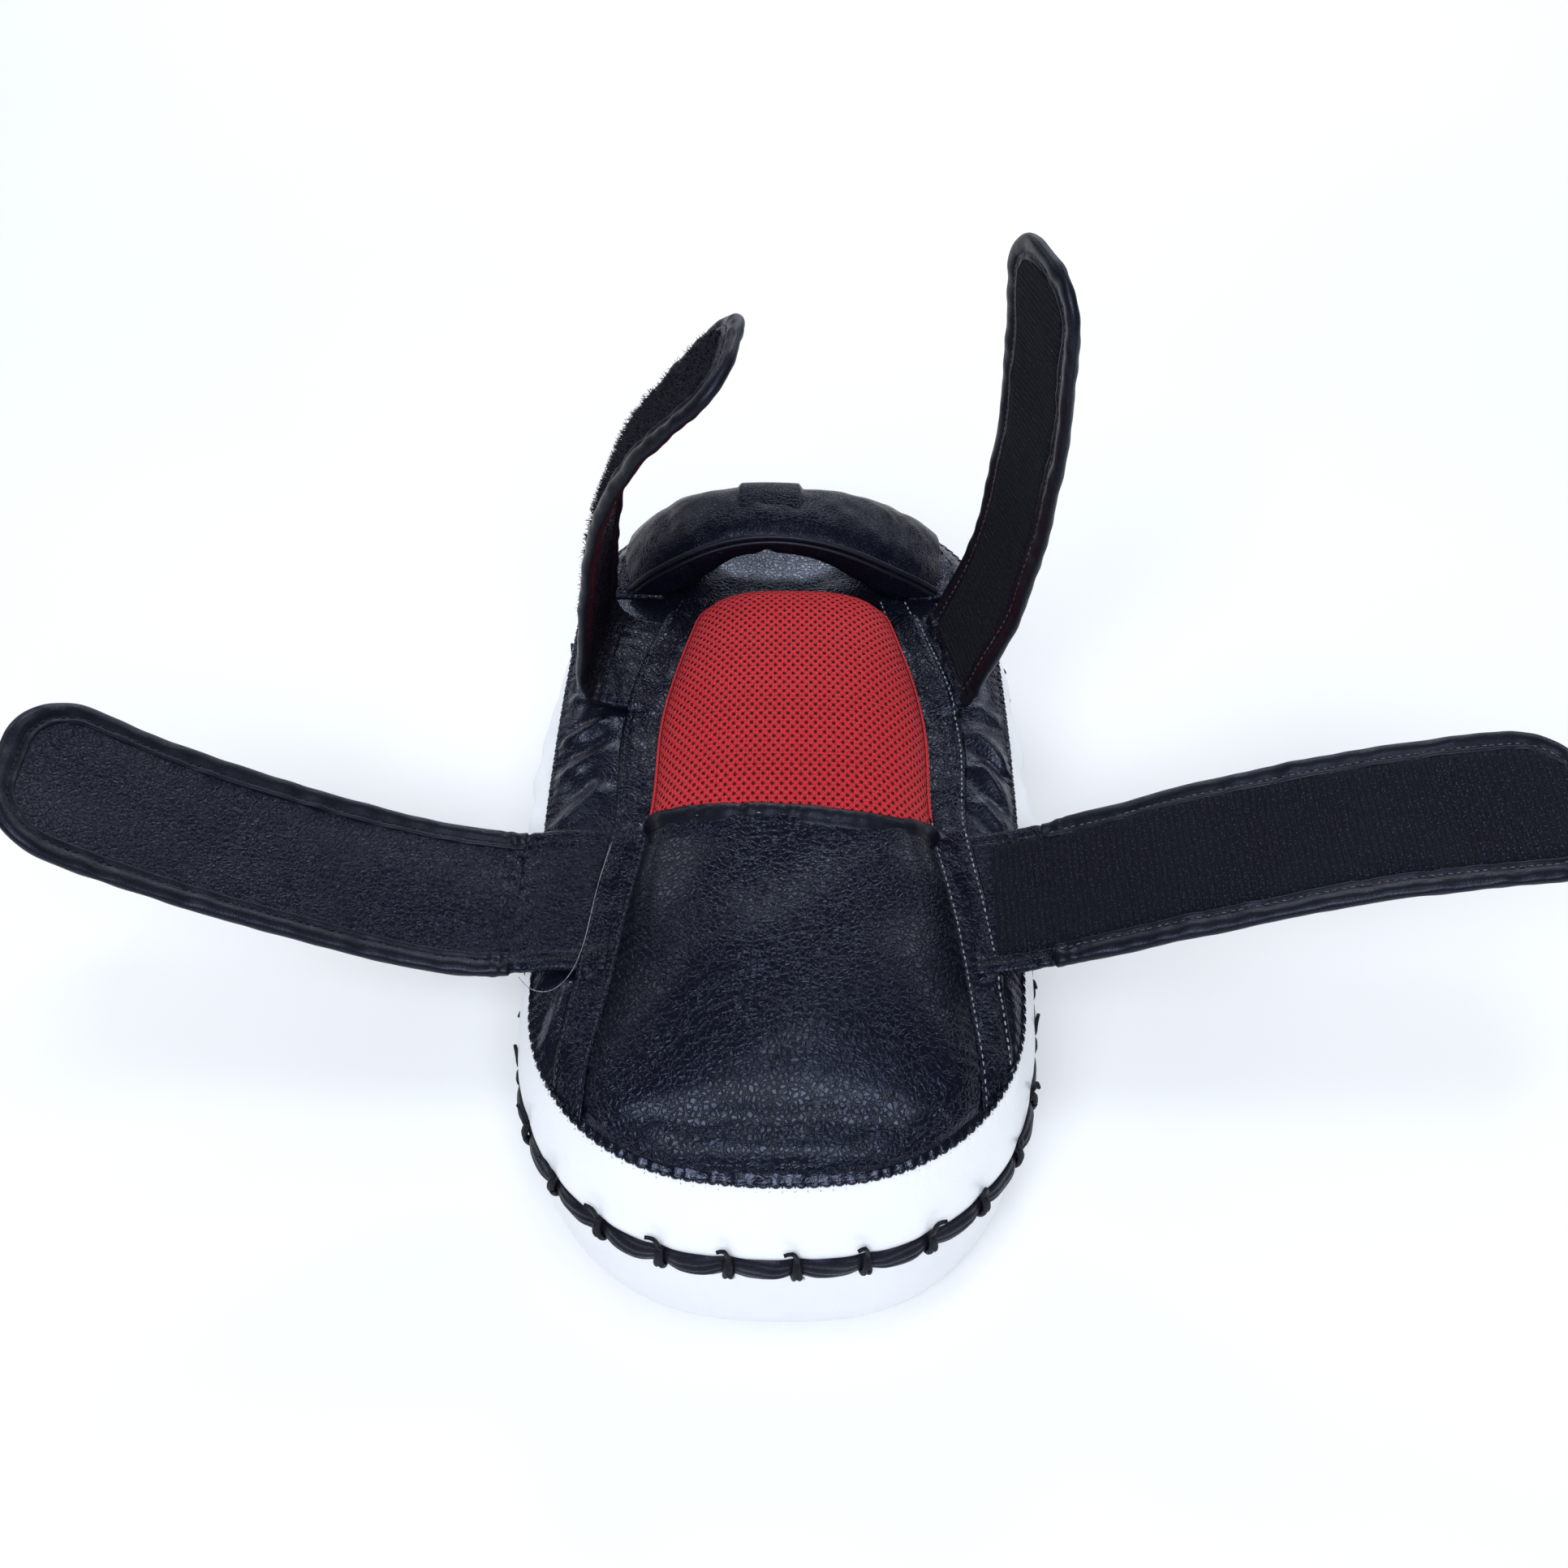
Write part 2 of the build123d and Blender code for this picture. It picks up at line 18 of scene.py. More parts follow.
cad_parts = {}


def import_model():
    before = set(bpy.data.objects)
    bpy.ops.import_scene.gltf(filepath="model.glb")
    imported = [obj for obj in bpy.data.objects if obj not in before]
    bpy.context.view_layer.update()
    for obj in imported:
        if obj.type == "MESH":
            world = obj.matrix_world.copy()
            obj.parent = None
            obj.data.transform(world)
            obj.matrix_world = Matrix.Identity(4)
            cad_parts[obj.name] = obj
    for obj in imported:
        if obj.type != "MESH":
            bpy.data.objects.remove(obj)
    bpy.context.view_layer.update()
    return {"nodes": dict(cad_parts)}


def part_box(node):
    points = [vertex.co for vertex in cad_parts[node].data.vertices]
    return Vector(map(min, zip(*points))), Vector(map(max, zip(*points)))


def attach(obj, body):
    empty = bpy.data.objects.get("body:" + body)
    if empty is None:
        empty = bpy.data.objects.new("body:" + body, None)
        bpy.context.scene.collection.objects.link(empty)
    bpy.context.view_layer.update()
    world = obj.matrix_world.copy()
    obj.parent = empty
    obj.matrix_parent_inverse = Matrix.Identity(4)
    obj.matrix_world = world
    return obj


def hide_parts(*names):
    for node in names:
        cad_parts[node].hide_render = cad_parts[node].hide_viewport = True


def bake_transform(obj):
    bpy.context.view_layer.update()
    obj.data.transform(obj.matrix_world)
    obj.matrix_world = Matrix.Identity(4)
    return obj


LOG = logging.getLogger("thai_pad")
MM = 0.001
TINY = 1e-9
MIDDLE = (0.0, 0.0, 0.05)
LENGTHWISE = Matrix.Rotation(math.pi / 2, 4, "Y")
Array = np.ndarray


class Side(Enum):
    """Left or right of the pad, as the sign of X."""

    LEFT = -1
    RIGHT = 1


class TapeFace(Enum):
    """Which face of a strap carries the touch tape."""

    OUTER = -1
    FOREARM = 1


# ---- shapes ---------------------------------------------------------------------------------
def ease(share: Array) -> Array:
    """Smooth step from 0 to 1."""
    share = np.clip(share, 0.0, 1.0)
    return share * share * (3.0 - 2.0 * share)


def bell(distance: Array, width: float) -> Array:
    """Bump of height 1 that dies away over width."""
    return np.exp(-((distance / width) ** 2))


def unit(vectors: Array) -> Array:
    """Vectors brought to length 1 along the last axis."""
    return vectors / np.maximum(np.linalg.norm(vectors, axis=-1, keepdims=True), TINY)


def run_along(line: Array) -> Array:
    """Length along a line of points, at each of them."""
    return np.concatenate([[0.0], np.cumsum(np.linalg.norm(np.diff(line, axis=0), axis=1))])


def read_at(where: Array, run: Array, table: Array) -> Array:
    """Every column of a table, read where its run has the given values."""
    return np.stack([np.interp(where, run, column) for column in table.T], axis=-1)


def even_points(line: Array, count: int) -> Array:
    """Points evenly spaced along a line of points."""
    run = run_along(line)
    return read_at(np.linspace(0.0, run[-1], count), run, line)


def curve_through(points: Sequence[Sequence[float]], count: int) -> Array:
    """Evenly spaced points along a smooth curve.

    Args:
        points: points that the curve passes through.
        count: how many points come back.

    Returns:
        Array of count rows.
    """
    knots = np.asarray(points, float)
    chord = np.linalg.norm(np.diff(knots, axis=0), axis=1)
    at = np.concatenate([[0.0], np.cumsum(chord)])
    size = len(knots)
    matrix, right = np.eye(size), np.zeros_like(knots)
    for i in range(1, size - 1):
        matrix[i, i - 1 : i + 2] = chord[i - 1], 2 * (chord[i - 1] + chord[i]), chord[i]
        right[i] = 6 * ((knots[i + 1] - knots[i]) / chord[i] - (knots[i] - knots[i - 1]) / chord[i - 1])
    bend = np.linalg.solve(matrix, right)
    fine = np.linspace(0.0, at[-1], 50 * size)
    k = np.clip(np.searchsorted(at, fine, side="right") - 1, 0, size - 2)
    gap = chord[k][:, None]
    a, b = (at[k + 1] - fine)[:, None], (fine - at[k])[:, None]
    line = (bend[k] * a**3 + bend[k + 1] * b**3) / (6 * gap)
    line += (knots[k] / gap - bend[k] * gap / 6) * a + (knots[k + 1] / gap - bend[k + 1] * gap / 6) * b
    return even_points(line, count)


def table_at(points: Sequence[Sequence[float]], where: Array) -> Array:
    """Second column of a smooth curve through points, read at where in the first column."""
    line = curve_through(points, 400)
    return np.interp(where, line[:, 0], line[:, 1])


def ripple(points: Array, length: float, seed: int, waves: int = 7) -> Array:
    """Irregular smooth height, mostly from -1 to 1.

    Args:
        points: array whose last axis holds coordinates.
        length: typical wave length, in the units of points.
        seed: number that fixes the pattern.
        waves: how many waves are added up.

    Returns:
        Array of heights.
    """
    rng = np.random.default_rng(seed)
    total = np.zeros(points.shape[:-1])
    for _ in range(waves):
        way = rng.normal(size=points.shape[-1])
        way /= np.linalg.norm(way)
        turn = 2 * math.pi / (length * rng.uniform(0.65, 1.6))
        total += np.sin(points @ way * turn + rng.uniform(0, 2 * math.pi))
    return total / math.sqrt(waves)


def normals_of(grid: Array) -> Array:
    """Unit normals of a grid of points, from its rows and columns."""
    return unit(np.cross(np.gradient(grid, axis=1), np.gradient(grid, axis=0)))


def outward_of(ring: Array) -> Array:
    """Unit normals, pointing out of a closed ring of points."""
    step = np.roll(ring[:-1], -1, axis=0) - np.roll(ring[:-1], 1, axis=0)
    out = unit(np.stack([step[:, 1], -step[:, 0]], axis=1))
    return np.concatenate([out, out[:1]])


def at_height(ring: Array, z: float) -> Array:
    """Ring of points (x, y) at one height."""
    return np.column_stack([ring, np.full(len(ring), z)])


def pushed(ring: Array, wave: Array, z: Array) -> Array:
    """Closed ring of points (x, y) moved outwards by wave and lifted to z."""
    points = np.column_stack([ring + outward_of(ring) * wave[:, None], np.broadcast_to(z, len(ring))])
    points[-1] = points[0]
    return points


def close_ends(grid: Array) -> Array:
    """Grid with its first and last row closed to their middle points."""
    first, last = (np.repeat(grid[k].mean(axis=0)[None, None], grid.shape[1], 1) for k in (0, -1))
    return np.concatenate([first, grid, last])


def repeat_ends(flat: Array) -> Array:
    """Pattern coordinates of a grid closed by close_ends()."""
    return np.concatenate([flat[:1], flat, flat[-1:]])


# ---- meshes ---------------------------------------------------------------------------------
def new_piece(name: str, bm: bmesh.types.BMesh) -> bpy.types.Object:
    """Object from a finished bmesh, smooth shaded and linked to the scene."""
    mesh = bpy.data.meshes.new(name)
    bm.to_mesh(mesh)
    bm.free()
    mesh.shade_smooth()
    piece = bpy.data.objects.new(name, mesh)
    bpy.context.scene.collection.objects.link(piece)
    return piece


def turn_out(bm: bmesh.types.BMesh, way: Optional[Sequence[float]] = None) -> None:
    """Turns all faces round if they look against way, or towards the pad's middle without one."""
    total = 0.0
    for face in bm.faces:
        look = Vector(way) if way else face.calc_center_median() - Vector(MIDDLE)
        total += face.normal.dot(look) * face.calc_area()
    if total < 0:
        bmesh.ops.reverse_faces(bm, faces=bm.faces)


def smoothed(piece: bpy.types.Object, levels: int = 1) -> None:
    """Gives the piece a subdivision surface."""
    smooth = piece.modifiers.new("smooth", "SUBSURF")
    smooth.levels = smooth.render_levels = levels


def skin(
    name: str,
    grid: Array,
    flat: Optional[Array] = None,
    outward: Optional[Sequence[float]] = None,
    wall: float = 0.0,
    subdivide: bool = False,
) -> bpy.types.Object:
    """Piece whose surface is a grid moved to given points.

    Args:
        name: the piece's name.
        grid: rows x columns x 3 points in millimetres; ends that meet are merged.
        flat: rows x columns x 2 pattern coordinates in millimetres for the UV map.
        outward: direction that most faces of an open sheet look; () for away from the pad's middle
            and None for a closed shell.
        wall: thickness in millimetres that a sheet gets inwards.
        subdivide: whether the surface is subdivided once.

    Returns:
        The new object.
    """
    rows, columns = grid.shape[:2]
    bm = bmesh.new()
    bmesh.ops.create_grid(bm, x_segments=columns - 1, y_segments=rows - 1, size=0.5)
    scratch = bpy.data.meshes.new("scratch")
    bm.to_mesh(scratch)
    bm.free()
    co = np.zeros(len(scratch.vertices) * 3)
    scratch.vertices.foreach_get("co", co)
    co = co.reshape(-1, 3)
    i = np.rint((co[:, 1] + 0.5) * (rows - 1)).astype(int)
    j = np.rint((co[:, 0] + 0.5) * (columns - 1)).astype(int)
    scratch.vertices.foreach_set("co", (grid[i, j] * MM).ravel())
    if flat is not None:
        loops = np.zeros(len(scratch.loops), int)
        scratch.loops.foreach_get("vertex_index", loops)
        layer = scratch.uv_layers.new(name="UVMap")
        layer.data.foreach_set("uv", (flat[i, j] * MM)[loops].ravel())
    bm = bmesh.new()
    bm.from_mesh(scratch)
    bpy.data.meshes.remove(scratch)
    bmesh.ops.remove_doubles(bm, verts=bm.verts, dist=2e-6)
    bmesh.ops.recalc_face_normals(bm, faces=bm.faces)
    if outward is not None:
        turn_out(bm, outward)
    piece = new_piece(name, bm)
    if wall:
        thick = piece.modifiers.new("wall", "SOLIDIFY")
        thick.thickness = wall * MM
        thick.offset = -1.0
    if subdivide:
        smoothed(piece)
    return piece


def tube_grid(path: Array, radius: Array, sides: int) -> Array:
    """Grid of points round a path, closed to a point at both ends.

    Args:
        path: points of the middle line.
        radius: radius at each point, or one for all.
        sides: points round the tube.

    Returns:
        Grid for skin().
    """
    run = unit(np.gradient(path, axis=0))
    up = np.array([0.0, 0.0, 1.0])
    if abs(run @ up).mean() > 0.8:
        up = np.array([0.0, 1.0, 0.0])
    across = unit(np.cross(run, up))
    above = np.cross(across, run)
    turn = np.linspace(0, 2 * math.pi, sides + 1)
    ring = across[:, None] * np.cos(turn)[None, :, None] + above[:, None] * np.sin(turn)[None, :, None]
    grid = path[:, None] + ring * np.broadcast_to(radius, len(path))[:, None, None]
    first, last = np.repeat(path[:1, None], sides + 1, 1), np.repeat(path[-1:, None], sides + 1, 1)
    return np.concatenate([first, grid, last])


def gather(name: str, pieces: Sequence[bpy.types.Object]) -> bpy.types.Object:
    """One piece from several meshes."""
    bm = bmesh.new()
    for piece in pieces:
        bm.from_mesh(piece.data)
        mesh = piece.data
        bpy.data.objects.remove(piece)
        bpy.data.meshes.remove(mesh)
    return new_piece(name, bm)


@dataclass
class Batch:
    """Many small shapes made a few at a time, since each operator walks its whole mesh."""

    size: int = 32
    count: int = 0
    bm: Optional[bmesh.types.BMesh] = None
    whole: bmesh.types.BMesh = field(default_factory=bmesh.new)

    def next(self) -> bmesh.types.BMesh:
        """Mesh in which the next shape is made."""
        if self.bm is None or self.count % self.size == 0:
            self.flush()
            self.bm = bmesh.new()
        self.count += 1
        return self.bm

    def flush(self) -> None:
        """Moves the finished shapes into the whole."""
        if self.bm is None:
            return
        mesh = bpy.data.meshes.new("scratch")
        self.bm.to_mesh(mesh)
        self.bm.free()
        self.bm = None
        self.whole.from_mesh(mesh)
        bpy.data.meshes.remove(mesh)

    def finish(self, name: str) -> bpy.types.Object:
        """Piece with every shape in it."""
        self.flush()
        return new_piece(name, self.whole)


@dataclass
class Stitching:
    """Rows of thread stitches collected into one piece."""

    name: str
    length: float = 2.3
    pitch: float = 3.1
    radius: float = 0.36
    lift: float = 0.1
    uneven: float = 0.12
    batch: Batch = field(default_factory=Batch)

    def place(self, spot: Array, run: Array, face: Array, length: float, radius: float) -> None:
        """One stitch: an ellipsoid along run, lying on the face."""
        x_axis, z_axis = Vector(run).normalized(), Vector(face).normalized()
        y_axis = z_axis.cross(x_axis).normalized()
        z_axis = x_axis.cross(y_axis)
        turn = Matrix((x_axis, y_axis, z_axis)).transposed().to_4x4()
        size = Matrix.Diagonal((length * MM / 2, radius * MM, radius * MM * 0.8, 1.0))
        place = Matrix.Translation(Vector(spot) * MM) @ turn @ size @ LENGTHWISE
        bmesh.ops.create_uvsphere(self.batch.next(), u_segments=6, v_segments=4, radius=1.0, matrix=place)

    def row(self, line: Array, faces: Array, seed: int) -> None:
        """Stitches along a line of points with a face normal at each."""
        run = run_along(line)
        rng = np.random.default_rng(seed)
        for at in np.arange(self.pitch / 2, run[-1], self.pitch):
            at = at + rng.uniform(-self.uneven, self.uneven) * self.pitch
            spot, face = read_at(at, run, line), read_at(at, run, faces)
            way = read_at(at + 0.8, run, line) - read_at(at - 0.8, run, line)
            tilt = np.cross(face, way) * rng.uniform(-self.uneven, self.uneven)
            self.place(spot + face * self.lift, way + tilt, face, self.length, self.radius)

    def finish(self) -> bpy.types.Object:
        """The piece with every stitch in it."""
        return self.batch.finish(self.name)


# ---- finishes -------------------------------------------------------------------------------
class Graph:
    """A node tree that is being wired up."""

    def __init__(self, tree: bpy.types.NodeTree) -> None:
        """Starts on an existing tree."""
        self.tree = tree

    def feed(self, target: bpy.types.NodeSocket, value: object) -> None:
        """Sets a socket to a value, or links it if the value is a socket."""
        if isinstance(value, bpy.types.NodeSocket):
            self.tree.links.new(value, target)
        elif target.type == "RGBA":
            target.default_value = (*value, 1.0)
        else:
            target.default_value = value

    def wire(self, node: bpy.types.Node, **values: object) -> bpy.types.Node:
        """Feeds a node's inputs by name; words in the names are joined by underscores."""
        for key, value in values.items():
            self.feed(node.inputs[key.replace("_", " ")], value)
        return node

    def add(self, kind: str, **settings: object) -> bpy.types.Node:
        """New node with its properties set."""
        node = self.tree.nodes.new(kind)
        for key, value in settings.items():
            setattr(node, key, value)
        return node

    def group(self, tree: bpy.types.NodeTree, **values: object) -> bpy.types.Node:
        """Group node with its inputs fed."""
        return self.wire(self.add("ShaderNodeGroup", node_tree=tree), **values)

    def math(self, operation: str, *values: object) -> bpy.types.NodeSocket:
        """Result of a math node."""
        node = self.add("ShaderNodeMath", operation=operation)
        for socket, value in zip(node.inputs, values):
            self.feed(socket, value)
        return node.outputs[0]

    def times(self, first: object, second: object) -> bpy.types.NodeSocket:
        """Product of two values."""
        return self.math("MULTIPLY", first, second)

    def plus(self, first: object, second: object) -> bpy.types.NodeSocket:
        """Sum of two values."""
        return self.math("ADD", first, second)

    def times_plus(self, first: object, second: object, third: object) -> bpy.types.NodeSocket:
        """Product of the first two values plus the third."""
        return self.math("MULTIPLY_ADD", first, second, third)

    def vector(self, operation: str, *values: object) -> bpy.types.NodeSocket:
        """Result of a vector math node."""
        node = self.add("ShaderNodeVectorMath", operation=operation)
        for socket, value in zip([item for item in node.inputs if item.enabled], values):
            self.feed(socket, value)
        return node.outputs["Vector"]

    def noise(
        self, where: object, scale: object, detail: float = 3.0, rough: float = 0.5
    ) -> bpy.types.NodeSocket:
        """Noise value."""
        node = self.add("ShaderNodeTexNoise")
        return self.wire(node, Vector=where, Scale=scale, Detail=detail, Roughness=rough).outputs[0]

    def cells(self, where: object, scale: object, feature: str) -> bpy.types.NodeSocket:
        """Distance output of a Voronoi pattern."""
        node = self.add("ShaderNodeTexVoronoi", feature=feature)
        return self.wire(node, Vector=where, Scale=scale).outputs["Distance"]

    def span(self, value: object, *limits: float) -> bpy.types.NodeSocket:
        """Value taken smoothly from low..high to start..end, which are 0 and 1 unless given."""
        node = self.add("ShaderNodeMapRange", interpolation_type="SMOOTHSTEP")
        for socket, item in zip(node.inputs, (value, *limits)):
            self.feed(socket, item)
        return node.outputs[0]

    def mix(self, share: object, first: object, second: object) -> bpy.types.NodeSocket:
        """Colour between two colours."""
        node = self.add("ShaderNodeMix", data_type="RGBA")
        for socket, value in zip(
            (node.inputs["Factor"], node.inputs[6], node.inputs[7]), (share, first, second)
        ):
            self.feed(socket, value)
        return node.outputs[2]


def shared_group(name: str, inputs: dict, outputs: dict, build: Callable) -> bpy.types.NodeTree:
    """Node group made once and reused.

    Args:
        name: the group's name.
        inputs: socket name to (socket type, default).
        outputs: socket name to socket type.
        build: called with the graph, the input node's outputs and the output node's inputs.

    Returns:
        The group's node tree.
    """
    if name in bpy.data.node_groups:
        return bpy.data.node_groups[name]
    tree = bpy.data.node_groups.new(name, "ShaderNodeTree")
    for key, (kind, default) in inputs.items():
        socket = tree.interface.new_socket(key, in_out="INPUT", socket_type=kind)
        if default is not None:
            socket.default_value = default
    for key, kind in outputs.items():
        tree.interface.new_socket(key, in_out="OUTPUT", socket_type=kind)
    graph = Graph(tree)
    entry, leave = graph.add("NodeGroupInput"), graph.add("NodeGroupOutput")
    build(graph, entry.outputs, leave.inputs)
    return tree


NUMBER, POINT = "NodeSocketFloat", "NodeSocketVector"


def grain_group() -> bpy.types.NodeTree:
    """Pebbled leather grain: height, and a mask of the valleys between pebbles, which the finishes paint
    darker as shade.
    """

    def build(g: Graph, given: object, out: object) -> None:
        where, size = given["Coordinates"], given["Pebble Size"]
        per_metre = g.math("DIVIDE", 1.0, size)
        sway = g.add("ShaderNodeTexNoise")
        g.wire(sway, Vector=where, Scale=g.times(per_metre, 0.55), Detail=2.0)
        push = g.vector("SCALE", g.vector("SUBTRACT", sway.outputs["Color"], (0.5, 0.5, 0.5)))
        g.wire(push.node, Scale=g.times(size, 0.9))
        bent = g.vector("ADD", where, push)
        pebble = g.span(g.cells(bent, per_metre, "DISTANCE_TO_EDGE"), 0.0, 0.22)
        crease = g.span(g.cells(bent, g.times(per_metre, 0.36), "DISTANCE_TO_EDGE"), 0.0, 0.07)
        fine = g.noise(where, g.times(per_metre, 4.0), 2.0, 0.6)
        vary = g.span(g.noise(where, g.times(per_metre, 0.09), 2.0), 0.35, 0.65, 0.45, 1.0)
        height = g.plus(g.times(g.times(pebble, 0.62), vary), g.times(crease, 0.3))
        g.feed(out["Height"], g.plus(height, g.times(fine, given["Fine Share"])))
        g.feed(out["Valley"], g.math("SUBTRACT", 1.0, g.times(pebble, crease)))

    return shared_group(
        "pebble_grain",
        {"Coordinates": (POINT, None), "Pebble Size": (NUMBER, 0.002), "Fine Share": (NUMBER, 0.12)},
        {"Height": NUMBER, "Valley": NUMBER},
        build,
    )


def wear_group() -> bpy.types.NodeTree:
    """Handling marks: soft smudges and fine scuffs, as masks."""

    def build(g: Graph, given: object, out: object) -> None:
        where, scale = given["Coordinates"], given["Smudge Scale"]
        smudge = g.span(g.noise(where, scale, 4.0, 0.6), 0.42, 0.7)
        streak = g.wire(g.add("ShaderNodeMapping"), Vector=where, Scale=(1.0, 0.16, 1.0))
        scuff = g.span(g.noise(streak.outputs[0], g.times(scale, 14.0), 5.0, 0.7), 0.6, 0.78)
        g.feed(out["Smudge"], smudge)
        g.feed(out["Scuff"], g.times(scuff, smudge))

    return shared_group(
        "handling_wear",
        {"Coordinates": (POINT, None), "Smudge Scale": (NUMBER, 22.0)},
        {"Smudge": NUMBER, "Scuff": NUMBER},
        build,
    )


def knit_group() -> bpy.types.NodeTree:
    """Rows of knitted loops: height and a mask of the yarn shadows."""

    def build(g: Graph, given: object, out: object) -> None:
        split = g.wire(g.add("ShaderNodeSeparateXYZ"), Vector=given["Coordinates"])
        u = g.times(split.outputs[0], g.math("DIVIDE", 2 * math.pi, given["Wale"]))
        v = g.times(split.outputs[1], g.math("DIVIDE", 2 * math.pi, given["Course"]))
        jitter = g.times(g.math("SUBTRACT", g.noise(given["Coordinates"], 900.0, 2.0), 0.5), 2.4)
        loop = g.math("SINE", g.plus(g.plus(u, g.times(g.math("SINE", v), 1.3)), jitter))
        row = g.math("SINE", g.plus(v, g.times(jitter, 0.5)))
        height = g.plus(g.plus(g.times(loop, 0.3), g.times(row, 0.25)), 0.5)
        g.feed(out["Height"], height)
        g.feed(out["Shadow"], g.span(height, 0.45, 0.1))

    return shared_group(
        "knitted_loops",
        {"Coordinates": (POINT, None), "Wale": (NUMBER, 0.0012), "Course": (NUMBER, 0.0013)},
        {"Height": NUMBER, "Shadow": NUMBER},
        build,
    )


class Finish:
    """Base of every finish: makes its material once."""

    name: str

    def material(self) -> bpy.types.Material:
        """The finish's material, made at first use."""
        if self.name in bpy.data.materials:
            return bpy.data.materials[self.name]
        made = bpy.data.materials.new(self.name)
        made.use_nodes = True
        shader = next(node for node in made.node_tree.nodes if node.type == "BSDF_PRINCIPLED")
        self.dress(Graph(made.node_tree), shader)
        return made

    def dress(self, g: Graph, shader: bpy.types.Node) -> None:
        """Wires the finish into the material's shader."""
        raise NotImplementedError

    @staticmethod
    def bump(g: Graph, shader: bpy.types.Node, height: object, depth: float) -> None:
        """Relief of a depth in millimetres."""
        node = g.wire(g.add("ShaderNodeBump"), Strength=1.0, Distance=depth * MM, Height=height)
        g.wire(shader, Normal=node.outputs[0])

    def put_on(self, piece: bpy.types.Object) -> None:
        """Makes this the piece's only material."""
        piece.data.materials.clear()
        piece.data.materials.append(self.material())


def fit(piece: bpy.types.Object, finish: Finish, slot: str, body: str = "", *nodes: str) -> bpy.types.Object:
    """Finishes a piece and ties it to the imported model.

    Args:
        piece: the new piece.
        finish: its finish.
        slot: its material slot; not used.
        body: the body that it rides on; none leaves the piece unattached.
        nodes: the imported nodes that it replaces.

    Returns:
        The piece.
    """
    finish.put_on(piece)
    if body:
        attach(piece, body)
    if nodes:
        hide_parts(*nodes)
    return piece


def coordinates(g: Graph, by_pattern: bool = False) -> bpy.types.NodeSocket:
    """Object coordinates, or the piece's own UV map where the pattern follows the cloth."""
    return g.add("ShaderNodeTexCoord").outputs["UV" if by_pattern else "Object"]


@dataclass(frozen=True)
class Leather(Finish):
    """Coated vinyl leather with pebbled grain."""

    name: str
    colour: tuple
    # colour of the grain valleys: painted shade
    valley: tuple
    roughness: float
    pebble: float = 2.1
    depth: float = 0.22
    fine: float = 0.12
    coat: float = 0.06
    shine: float = 0.26
    by_pattern: bool = False

    def dress(self, g: Graph, shader: bpy.types.Node) -> None:
        """Grain, painted shade in the valleys, smudges and scuffs."""
        where = coordinates(g, self.by_pattern)
        grain = g.group(grain_group(), Coordinates=where, Pebble_Size=self.pebble * MM, Fine_Share=self.fine)
        wear = g.group(wear_group(), Coordinates=where, Smudge_Scale=22.0)
        valley, smudge = grain.outputs["Valley"], wear.outputs["Smudge"]
        # Valleys between pebbles darkened towards the valley colour: painted shade.
        tint = g.mix(g.times(valley, 0.6), self.colour, self.valley)
        pale = tuple(c * 1.35 + 0.006 for c in self.colour)
        tint = g.mix(g.times(wear.outputs["Scuff"], 0.6), tint, pale)
        rough = g.times_plus(valley, 0.14, g.times_plus(smudge, 0.1, self.roughness))
        g.wire(shader, Base_Color=tint, Roughness=rough, Coat_Weight=self.coat, Coat_Roughness=0.28)
        # The bluish specular tint is a painted cool cast of the light in the reflections.
        g.wire(shader, Specular_IOR_Level=self.shine, Specular_Tint=(0.6, 0.68, 1.0))
        self.bump(g, shader, grain.outputs["Height"], self.depth)


@dataclass(frozen=True)
class WhiteVinyl(Finish):
    """Smooth glossy white vinyl with faint grain and dust."""

    name: str = "glossy white vinyl"
    colour: tuple = (0.82, 0.84, 0.88)
    shade: tuple = (0.7, 0.73, 0.8)
    dust: tuple = (0.62, 0.63, 0.66)

    def dress(self, g: Graph, shader: bpy.types.Node) -> None:
        """Almost plain, with slow waves and a fine grain."""
        where = coordinates(g)
        grain = g.group(grain_group(), Coordinates=where, Pebble_Size=0.0011, Fine_Share=0.1)
        wear = g.group(wear_group(), Coordinates=where, Smudge_Scale=16.0)
        smudge = wear.outputs["Smudge"]
        tint = g.mix(g.times(smudge, 0.15), self.colour, self.shade)
        tint = g.mix(g.times(wear.outputs["Scuff"], 0.1), tint, self.dust)
        rough = g.times_plus(smudge, 0.05, 0.3)
        g.wire(shader, Base_Color=tint, Roughness=rough, Coat_Weight=0.3, Coat_Roughness=0.15)
        height = g.times_plus(g.noise(where, 60.0, 2.0), 2.5, grain.outputs["Height"])
        self.bump(g, shader, height, 0.07)


@dataclass(frozen=True)
class KnitMesh(Finish):
    """Red knitted spacer fabric."""

    name: str = "red spacer mesh"
    colour: tuple = (0.56, 0.009, 0.02)
    shadow: tuple = (0.2, 0.002, 0.006)
    # colour of the painted highlight specks
    shine: tuple = (0.72, 0.05, 0.07)
    relief: float = 0.35

    def dress(self, g: Graph, shader: bpy.types.Node) -> None:
        """Yarn loops with painted shade in the gaps, painted highlight specks and a little sheen."""
        where = coordinates(g, True)
        knit = g.group(knit_group(), Coordinates=where, Wale=0.00123, Course=0.00176)
        fuzz_and_glint = g.noise(where, 2600.0, 3.0, 0.6)
        tint = g.mix(g.times(knit.outputs["Shadow"], 0.75), self.colour, self.shadow)
        # Painted highlight: specks of brighter red where the noise is high.
        tint = g.mix(g.span(fuzz_and_glint, 0.5, 0.75, 0.0, 0.5), tint, self.shine)
        g.wire(shader, Base_Color=tint, Roughness=g.span(fuzz_and_glint, 0.2, 0.8, 0.55, 0.8), Specular_IOR_Level=0.35)
        g.wire(shader, Sheen_Weight=0.12, Sheen_Roughness=0.4, Sheen_Tint=(1.0, 0.45, 0.45))
        self.bump(g, shader, g.times_plus(fuzz_and_glint, 0.35, knit.outputs["Height"]), self.relief)


TAPE_PITCH = 2.54


